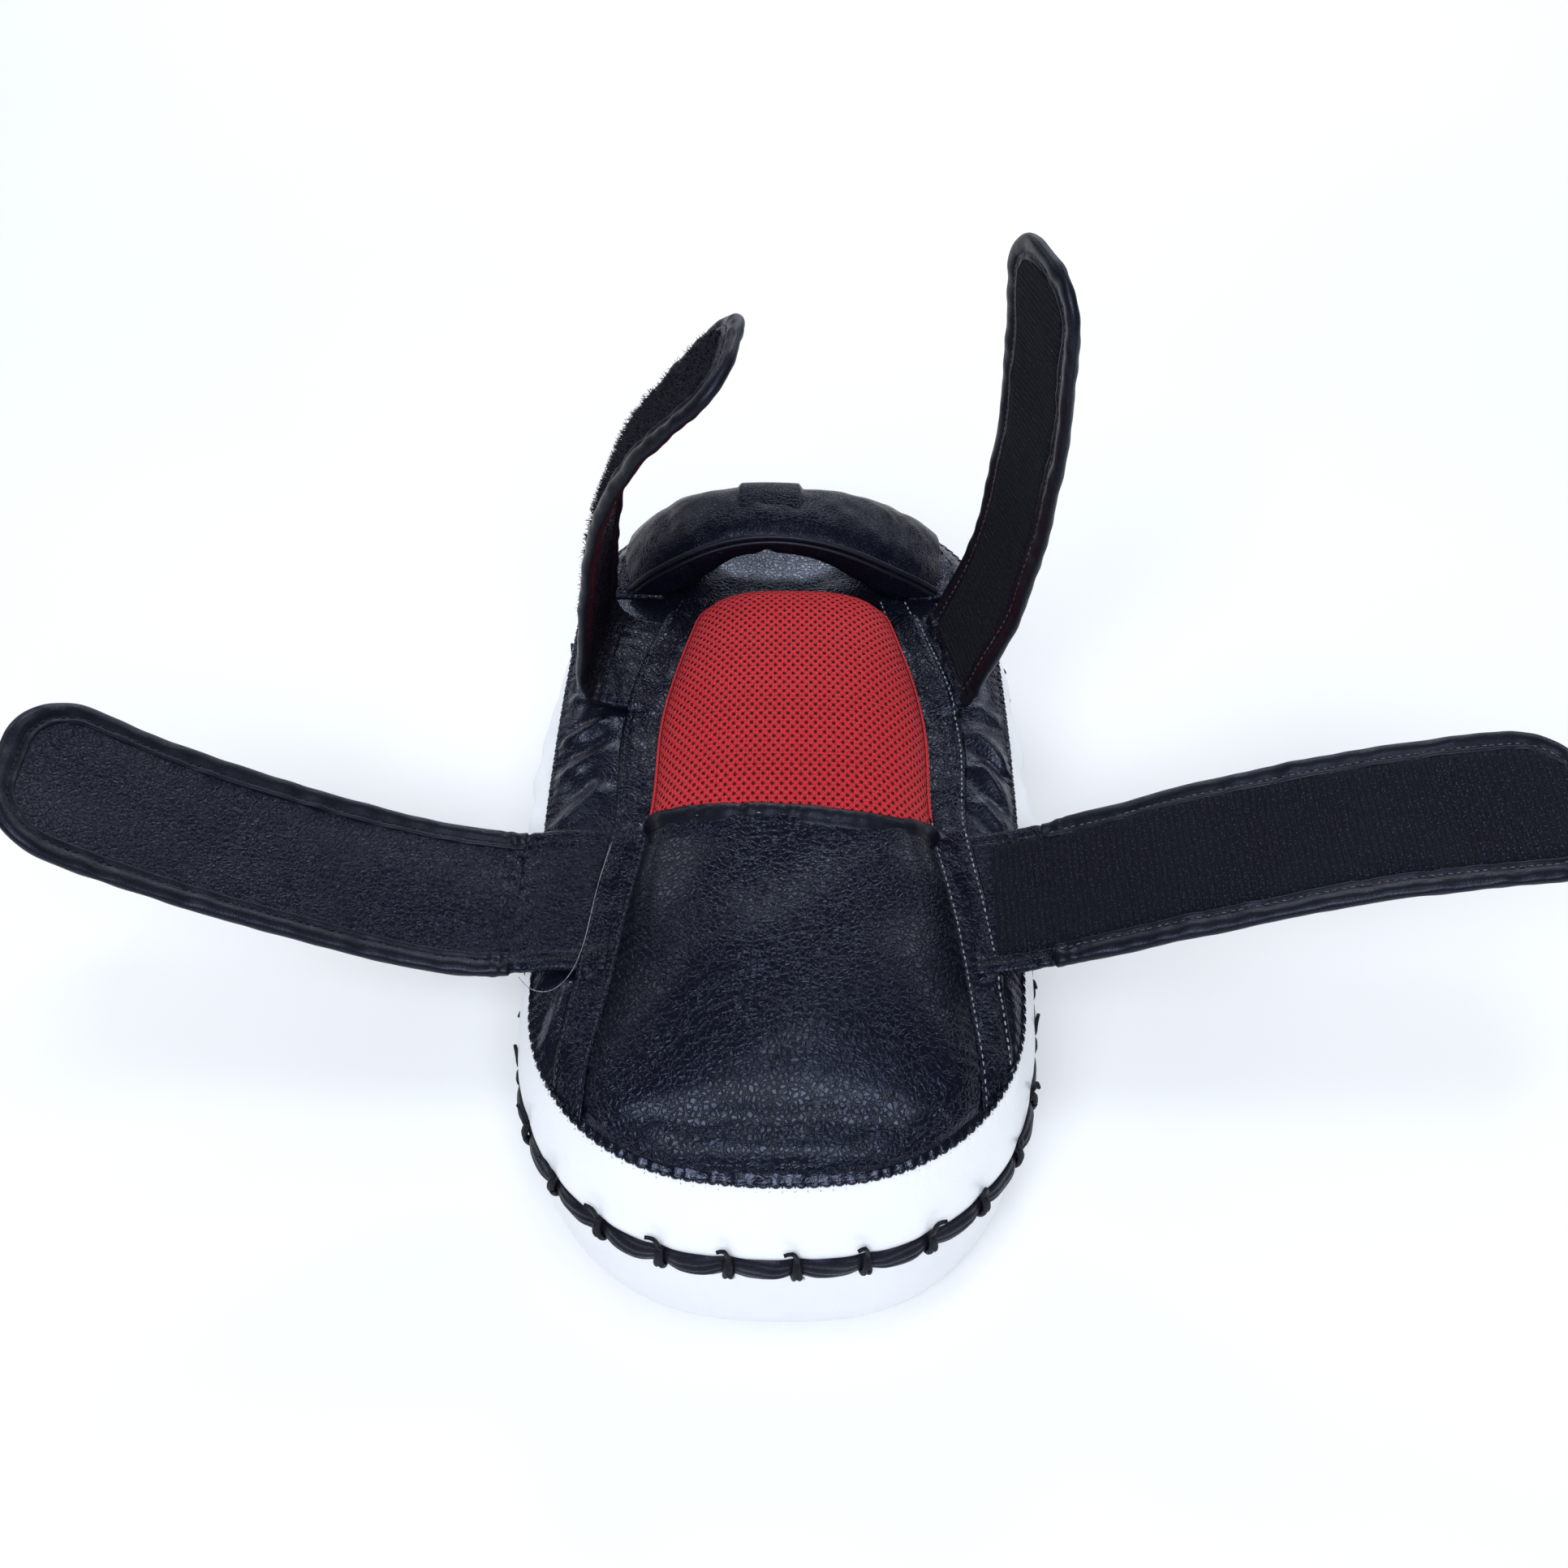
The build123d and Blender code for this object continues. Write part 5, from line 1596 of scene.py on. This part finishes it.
# ---- straps ---------------------------------------------------------------------------------
@dataclass
class Strap:
    """Bound leather strap with touch tape, sewn to its side strip by a flat tab.

    route holds points (distance outwards from the fold, height) of the strap's middle line;
    the third of them is the fold itself.
    """

    name: str
    side: Side
    width: float
    y: float
    slant: tuple
    hinge_x: float
    route: tuple
    root: float
    tip: float
    tape: TapeFace
    corner: float
    seed: int
    fold_index: int = 2
    hem: float = 9.6
    tab_in: float = 30.0
    lip: tuple = (
        (0.0, 0.0), (0.35, 1.3), (1.6, 2.35), (3.4, 2.75), (5.2, 2.45), (6.3, 1.85), (7.0, 1.6), (7.6, 1.95),
        (8.5, 2.5), (9.4, 2.2), (9.8, 1.3),
    )
    tab_hem: tuple = (
        (8.0, 1.35), (7.2, 1.95), (6.2, 1.6), (5.4, 1.45), (4.2, 2.0), (2.2, 2.15), (0.6, 1.4), (0.0, 0.0),
    )

    def __post_init__(self) -> None:
        """Samples the middle line by its length from the fold."""
        self.line = curve_through(self.route, 900)
        run = run_along(self.line)
        fold = np.array(self.route[self.fold_index])
        self.run = run - run[int(np.argmin(np.linalg.norm(self.line - fold, axis=1)))]
        self.reach = self.root + self.tip

    def frame(self, s: Array) -> tuple:
        """Middle point, width direction and forearm-side normal at each length from the fold."""
        d, z = (read_at(s, self.run, self.line)[..., k] for k in (0, 1))
        step = unit(read_at(s + 1.5, self.run, self.line) - read_at(s - 1.5, self.run, self.line))
        dd, dz = step[..., 0], step[..., 1]
        slant = np.radians(self.slant[0] + (self.slant[1] - self.slant[0]) * ease(s / self.reach))
        lean = math.radians(self.slant[0])
        sign = self.side.value
        plan = np.array([sign * math.cos(lean), math.sin(lean)])
        middle = np.stack([self.hinge_x + plan[0] * d, self.y + plan[1] * d, z], axis=-1)
        across = np.stack([-sign * np.sin(slant), np.cos(slant), np.zeros_like(slant)], axis=-1)
        along = np.stack([plan[0] * dd, plan[1] * dd, dz], axis=-1)
        along = unit(along - across * (along * across).sum(axis=-1, keepdims=True))
        face = np.cross(along, across)
        reference = np.stack([-sign * dz, np.zeros_like(dd), dd], axis=-1)
        return middle, across, face * np.sign((face * reference).sum(axis=-1, keepdims=True))

    def point(self, s: Array, w: Array, t: Array) -> Array:
        """Point at length s, width w from the middle and height t on the forearm side."""
        middle, across, face = self.frame(s)
        flat = np.stack([s, w], axis=-1)
        edge = np.clip(np.abs(w) / (self.width / 2), 0, 1)
        fade = ease((s + 22) / 30)
        wave = (
            0.5 * ripple(flat, 50.0, self.seed) * fade
            + 0.24 * ripple(flat, 21.0, self.seed + 1) * edge**3 * fade
        )
        wave = wave + bell(s - 1.0, 7.0) * (0.5 * ripple(flat, 6.0, self.seed + 2) * (0.35 + edge**2) - 0.4)
        wave = wave + 1.3 * (edge**3) * bell(s - self.reach * 0.75, self.reach * 0.35)
        shrink = 1.0 - 0.012 * bell(s - 1.0, 8.0)
        return middle + across * (w * shrink)[..., None] + face * (t + wave)[..., None]

    def outline(self, count: int, start: float) -> tuple:
        """Closed-ended outline of the strap in its flat pattern, near edge first.

        Args:
            count: points along it.
            start: length from the fold at which both edges start.

        Returns:
            Points (s, w) on the edge and unit directions inwards.
        """
        half, r, end = self.width / 2, self.corner, self.reach
        turn = np.linspace(0, math.pi / 2, 40)
        near = np.column_stack([np.linspace(start, end - r, 120), np.full(120, -half)])
        first = np.column_stack([end - r + r * np.sin(turn), -half + r - r * np.cos(turn)])[1:]
        flat = np.column_stack([np.full(12, end), np.linspace(-half + r, half - r, 12)])[1:]
        second = np.column_stack([end - r + r * np.cos(turn), half - r + r * np.sin(turn)])[1:]
        far = np.column_stack([np.linspace(end - r, start, 120), np.full(120, half)])[1:]
        edge = even_points(np.concatenate([near, first, flat, second, far]), count)
        step = np.gradient(edge, axis=0)
        return edge, unit(np.stack([-step[:, 1], step[:, 0]], axis=1))

    def half_at(self, s: Array, inset: float) -> Array:
        """Half width at s of the outline inset from the edge."""
        r = self.corner - inset
        end = self.reach - inset
        over = np.clip(s - (end - r), 0.0, r)
        return self.width / 2 - inset - r + np.sqrt(np.clip(r * r - over * over, 0.0, None))

    def body_slab(self) -> bpy.types.Object:
        """Leather body with a rounded tip."""
        inset, thick = 3.0, 1.55
        tip = self.reach - self.corner
        turn = np.linspace(0, math.pi / 2, 26)[1:]
        s = np.concatenate([np.linspace(-1.0, tip, 120), tip + (self.corner - inset) * np.sin(turn)])
        q = np.linspace(-1.0, 1.0, 45)
        loop = np.concatenate([q, q[::-1][1:], q[:1]])
        t = np.concatenate([np.full(45, thick), np.full(44, -thick), [thick]]) * (
            1 - 0.75 * np.abs(loop) ** 14
        )
        s, w = s[:, None] + 0 * loop, self.half_at(s, inset)[:, None] * loop
        grid = self.point(s, w, np.broadcast_to(t, s.shape))
        flat = repeat_ends(np.stack([s, w], axis=-1))
        piece = skin(f"{self.name}_strap_leather", close_ends(grid), flat)
        return self.bend(piece, STRAP_LEATHER, "black_vinyl", "leather")

    def binding(self) -> bpy.types.Object:
        """Soft folded binding round the edge, with a ridge at its inner lip."""
        count = 330
        edge, inward = self.outline(count, -1.5)
        section = np.array([*self.lip, *[(d, -t) for d, t in reversed(self.lip[1:])], self.lip[0]])
        d, t = section[None, :, 0], section[None, :, 1]
        s = edge[:, :1] + inward[:, :1] * d
        w = edge[:, 1:] + inward[:, 1:] * d
        run = np.arange(count)[:, None] * 1.6 + 0 * d
        soft = 1.0 + 0.1 * ripple(np.stack([run, d + 0 * run], axis=-1), 13.0, self.seed + 4)
        pucker = bell(s - 1.0, 9.0) * 0.35 * np.sin(s * 2 * math.pi / 4.2)
        grid = close_ends(self.point(s, w, t * soft + np.sign(t) * pucker))
        flat = repeat_ends(np.stack([run, np.arange(len(section))[None] + 0 * run], axis=-1))
        piece = skin(f"{self.name}_strap_edge_binding", grid, flat, subdivide=True)
        return self.bend(piece, STRAP_TRIM, "edge_binding", "binding")

    def tape_shell(self, name: str, s: Array, half: Array, high: float, low: float) -> bpy.types.Object:
        """Band of tape on one face: ribbed across for hooks, woolly for loops.

        Args:
            name: the piece's name.
            s: lengths from the fold.
            half: half the tape's width at each length.
            high: height of its face over the strap's middle.
            low: height of its hidden underside.

        Returns:
            The new object.
        """
        s, q = np.meshgrid(s, np.linspace(-1.0, 1.0, 31), indexing="ij")
        w, sign = q * half[:, None], self.tape.value
        flat = np.stack([s, w], axis=-1)
        if self.tape is TapeFace.FOREARM:
            rib = 0.55 * np.abs(np.sin(math.pi * s / TAPE_PITCH))
        else:
            rib = 0.3 * ripple(flat, 3.0, self.seed + 6)
        top = self.point(s, w, sign * (high + rib - 0.9 * np.abs(q) ** 16))
        under = self.point(s, w, np.full_like(s, sign * low))
        grid = np.concatenate([top, under[:, ::-1], top[:, :1]], axis=1)
        flat = np.concatenate([flat, flat[:, ::-1], flat[:, :1]], axis=1)
        return skin(name, close_ends(grid), repeat_ends(flat))

    def tape_panel(self) -> bpy.types.Object:
        """Touch tape on one face of the strap."""
        inset = self.hem - 0.5
        s = np.arange(3.0, self.reach - inset - 0.01, TAPE_PITCH / 6)
        piece = self.tape_shell(f"{self.name}_touch_tape", s, self.half_at(s, inset), 2.35, 1.2)
        hooks = self.tape is TapeFace.FOREARM
        return self.bend(piece, HOOK if hooks else LOOP, "hook_tape" if hooks else "loop_tape", "tape")

    def pile(self) -> bpy.types.Object:
        """Fibre tufts standing on the tape."""
        rng = np.random.default_rng(self.seed + 9)
        loops = self.tape is TapeFace.OUTER
        count, thick, tall = (3600, 0.26, (1.0, 2.9)) if loops else (1500, 0.16, (0.25, 0.7))
        batch = Batch()
        s = rng.uniform(4.0, self.reach - self.hem, count)
        w = rng.uniform(-1.0, 1.0, count) * (self.half_at(s, self.hem) - 0.4)
        tall = rng.uniform(*tall, count)
        foot = self.point(s, w, np.full(count, self.tape.value * 2.2))
        drift = rng.normal(size=(count, 2)) * tall[:, None] * 0.55
        head = self.point(s + drift[:, 0], w + drift[:, 1], self.tape.value * (2.4 + tall))
        for a, b in zip(foot, head):
            way = Vector(b - a)
            turn = Vector((0, 0, 1)).rotation_difference(way).to_matrix().to_4x4()
            place = Matrix.Translation(Vector((a + b) / 2) * MM) @ turn
            size = {"radius1": thick * MM, "radius2": thick * 0.25 * MM, "depth": way.length * MM}
            bmesh.ops.create_cone(batch.next(), segments=3, cap_ends=True, matrix=place, **size)
        piece = batch.finish(f"{self.name}_tape_pile")
        return self.bend(piece, LOOP_FIBRE if loops else HOOK_FIBRE, "loop_tape" if loops else "hook_tape")

    def sew(self, rows: Stitching, s: Array, w: Array, high: float, seed: int) -> None:
        """Adds a row of stitches at a height over the strap's middle, or under it if negative."""
        line = self.point(s, w, np.full(len(s), high))
        out = self.point(s, w, np.full(len(s), high + math.copysign(1.0, high)))
        rows.row(line, out - line, self.seed + seed)

    def stitches(self) -> bpy.types.Object:
        """Stitch rows along the binding on both faces, and across the seam at the fold."""
        rows = Stitching(f"{self.name}_strap_stitches", 2.1, 3.0, 0.3)
        edge, inward = self.outline(500, 1.0)
        edge = edge + inward * 6.95
        for sign in (1.0, -1.0):
            self.sew(rows, edge[:, 0], edge[:, 1], sign * 1.75, 11)
        w = np.linspace(-self.width / 2 + 2, self.width / 2 - 2, 40)
        for s in (3.2, 6.4):
            self.sew(rows, np.full(40, s), w, -self.tape.value * 1.6, 12)
        thread = DULL_STITCH if self.side is Side.RIGHT else BLACK_THREAD
        return self.bend(rows.finish(), thread, "edge_binding")

    def tab(self) -> bpy.types.Object:
        """Hemmed flat tab from the side strip to the fold."""
        half = self.width / 2 - 1.0
        top = [(half * q, 1.25) for q in np.linspace(-0.72, 0.72, 25)]
        right = [(half - inset, t) for inset, t in self.tab_hem]
        upper = [*[(-w, t) for w, t in reversed(right)], *top, *right]
        section = np.array([*upper, *[(w, -t) for w, t in reversed(upper[1:-1])], upper[0]])
        s, w = np.meshgrid(np.linspace(-self.tab_in, 5.5, 60), section[:, 0], indexing="ij")
        flat = np.stack([s, w], axis=-1)
        gathers = 0.2 * np.sin(w * 2 * math.pi / 7.5 + 1.2 * ripple(flat, 14.0, self.seed + 15))
        bunch = bell(s + 1.0, 8.0) * (gathers + 0.3 * ripple(flat, 8.0, self.seed + 16))
        taper = 1.0 - 0.5 * ease((s - 0.5) / 4.0)
        grid = close_ends(self.point(s, w, section[None, :, 1] * taper + bunch * (s < 3)))
        piece = skin(f"{self.name}_strap_tab_leather", grid, repeat_ends(flat), subdivide=True)
        return self.fold(piece, STRAP_LEATHER, "black_vinyl", f"{self.name}_strap_tab")

    def tab_tape(self) -> bpy.types.Object:
        """Hook tape that runs on over the tab, where the strap carries it on its forearm side."""
        s = np.arange(-self.tab_in + 9.0, 4.6, TAPE_PITCH / 6)
        half = np.full(len(s), self.width / 2 - self.hem + 0.5)
        return self.fold(self.tape_shell(f"{self.name}_tab_tape", s, half, 2.3, 0.6), HOOK, "hook_tape")

    def tab_stitches(self) -> bpy.types.Object:
        """Stitch rows along the tab's two hems."""
        rows = Stitching(f"{self.name}_tab_stitches", 2.1, 3.0, 0.3)
        s = np.linspace(-self.tab_in + 2, -2.0, 60)
        for sign in (-1, 1):
            self.sew(rows, s, np.full(60, sign * (self.width / 2 - 6.6)), 1.55, 18)
        return self.fold(rows.finish(), BLACK_THREAD, "edge_binding")

    def hang(self, piece: bpy.types.Object) -> bpy.types.Object:
        """Bakes the piece's transform into its mesh."""
        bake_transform(piece)
        return piece

    def fold(self, piece: bpy.types.Object, finish: Finish, slot: str, *nodes: str) -> bpy.types.Object:
        """Fits a piece of the tab and bakes its transform."""
        return self.hang(fit(piece, finish, slot, "", *nodes))

    def bend(self, piece: bpy.types.Object, finish: Finish, slot: str, layer: str = "") -> bpy.types.Object:
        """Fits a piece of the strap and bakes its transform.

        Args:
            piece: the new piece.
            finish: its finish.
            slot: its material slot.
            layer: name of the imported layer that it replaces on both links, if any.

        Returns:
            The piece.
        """
        links = (f"{self.name}_root", f"{self.name}_tip")
        fit(piece, finish, slot, "", *([f"{link}_{layer}" for link in links] if layer else []))
        return self.hang(piece)

    def build(self) -> list:
        """Every piece of the strap."""
        pieces = [self.tab(), self.tab_stitches(), self.body_slab(), self.binding()]
        pieces += [self.tape_panel(), self.pile(), self.stitches()]
        if self.tape is TapeFace.FOREARM and self.tab_in > 20:
            pieces.append(self.tab_tape())
        return pieces


def straps() -> list:
    """The four straps with their own routes."""
    lower_left = (
        (-46.0, 96.4), (-15.0, 98.2), (0.0, 96.0), (20.0, 97.2), (47.0, 106.0), (92.0, 125.5), (138.0, 151.5),
        (163.0, 170.0), (178.0, 182.0),
    )
    lower_right = (
        (-40.0, 96.4), (-13.0, 101.8), (0.0, 106.6), (30.0, 119.5), (65.0, 133.5), (100.0, 145.5),
        (135.0, 154.5), (165.0, 159.5), (200.0, 162.5),
    )
    upper_left = (
        (-28.0, 96.6), (-8.0, 98.5), (0.0, 100.2), (4.4, 106.5), (4.6, 122.0), (1.6, 150.0), (-4.7, 187.0),
        (-14.5, 213.0), (-27.7, 234.5), (-43.0, 252.5), (-72.0, 282.0),
    )
    upper_right = (
        (-16.0, 96.8), (-4.0, 98.8), (0.0, 101.4), (6.0, 112.0), (14.5, 134.0), (20.5, 160.0), (25.0, 200.0),
        (26.0, 240.0), (24.0, 275.0), (21.0, 312.0),
    )
    low, high, left, right = (70.0, -62.725), (56.0, 67.0), Side.LEFT, Side.RIGHT
    outer, forearm = TapeFace.OUTER, TapeFace.FOREARM
    return [
        Strap(
            "lower_left", left, *low, (0.0, 0.0), -101.726, lower_left,
            102.0, 94.0, outer, 27.0, 101, tab_in=38.0,
        ),
        Strap(
            "lower_right", right, *low, (0.0, 0.0), 103.639, lower_right,
            105.5, 95.0, forearm, 27.0, 131, tab_in=31.0,
        ),
        Strap(
            "upper_left", left, *high, (9.0, 9.5), -74.746, upper_left,
            105.0, 85.0, outer, 22.0, 161, tab_in=21.0,
        ),
        Strap(
            "upper_right", right, *high, (13.0, 20.0), 70.246, upper_right,
            112.0, 89.0, forearm, 22.0, 191, tab_in=10.0,
        ),
    ]


# ---- studio ---------------------------------------------------------------------------------
@dataclass
class Studio:
    """Floor, lamps, world and camera."""

    spot: tuple = (0.009, -0.484, 0.650)
    pitch: float = 48.9
    yaw: float = 0.96
    lens: float = 41.386
    ambient: float = 0.42
    gloss: float = 0.06
    lamp_colour: tuple = (0.89, 0.94, 1.0)
    lamps: tuple = (
        ("far_window", (0.1, 2.0, 0.72), (0, 0.08, 0.09), (1.7, 0.5), 9.0),
        ("ceiling_near", (-0.1, -1.2, 1.5), (0, -0.05, 0.08), (1.3, 0.75), 26.2),
        ("far_slot", (0.02, 1.3, 1.15), (0, 0.1, 0.09), (0.55, 0.18), 4.2),
        ("overhead", (0.03, -0.16, 1.5), (0, -0.12, 0.09), (0.5, 0.16), 3.0),
        ("far_left", (-1.3, 1.45, 1.2), (0, 0, 0.08), (0.9, 0.7), 6.0),
        ("far_right", (1.3, 1.45, 1.2), (0, 0, 0.08), (0.9, 0.7), 6.0),
    )

    def lamp(self, name: str, at: tuple, look: tuple, size: tuple, power: float) -> None:
        """Soft rectangular lamp."""
        data = bpy.data.lights.new(name, "AREA")
        data.shape = "RECTANGLE"
        data.size, data.size_y = size
        data.energy = power
        data.color = self.lamp_colour
        lamp = bpy.data.objects.new(name, data)
        lamp.location = at
        lamp.rotation_euler = (Vector(look) - Vector(at)).to_track_quat("-Z", "Y").to_euler()
        bpy.context.scene.collection.objects.link(lamp)

    def world(self) -> None:
        """Plain surroundings: white where the camera sees them, dimmer as light and in gloss."""
        world = bpy.data.worlds.new("studio")
        world.use_nodes = True
        bpy.context.scene.world = world
        g = Graph(world.node_tree)
        back = next(node for node in world.node_tree.nodes if node.type == "BACKGROUND")
        path = g.add("ShaderNodeLightPath")
        seen = g.times_plus(path.outputs["Is Camera Ray"], 1.0 - self.ambient, self.ambient)
        gloss = g.times(path.outputs["Is Glossy Ray"], self.ambient - self.gloss)
        g.wire(back, Color=(0.95, 0.97, 1.0), Strength=g.math("SUBTRACT", seen, gloss))

    def floor(self) -> None:
        """Large plain floor under the pad."""
        bm = bmesh.new()
        bmesh.ops.create_grid(bm, x_segments=4, y_segments=4, size=6.0)
        floor = new_piece("studio_floor", bm)
        floor.data.transform(Matrix.Translation((0, 0, -0.0005)))
        Floor().put_on(floor)

    def camera(self) -> None:
        """Camera looking down at the back of the pad from its near end."""
        data = bpy.data.cameras.new("camera")
        data.lens, data.sensor_width = self.lens, 36.0
        data.clip_start = 0.01
        camera = bpy.data.objects.new("camera", data)
        camera.location = self.spot
        camera.rotation_euler = (math.radians(90 - self.pitch), 0, math.radians(self.yaw))
        bpy.context.scene.collection.objects.link(camera)
        bpy.context.scene.camera = camera

    def build(self) -> None:
        """Everything round the object."""
        bpy.context.scene.view_settings.view_transform = "Standard"
        self.camera()
        self.world()
        self.floor()
        for lamp in self.lamps:
            self.lamp(*lamp)


def main() -> None:
    """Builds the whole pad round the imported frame."""
    logging.basicConfig(level=logging.INFO, format="%(message)s")
    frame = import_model()
    Studio().build()
    pad = PadBody()
    pieces = pad.build(frame["nodes"])
    pieces += Cushion(pad).build()
    pieces += HandGrip().build(pad)
    for strap in straps():
        pieces += strap.build()
    for piece in pieces:
        LOG.info("%s: %d faces", piece.name, len(piece.data.polygons))


if __name__ == "__main__":
    main()
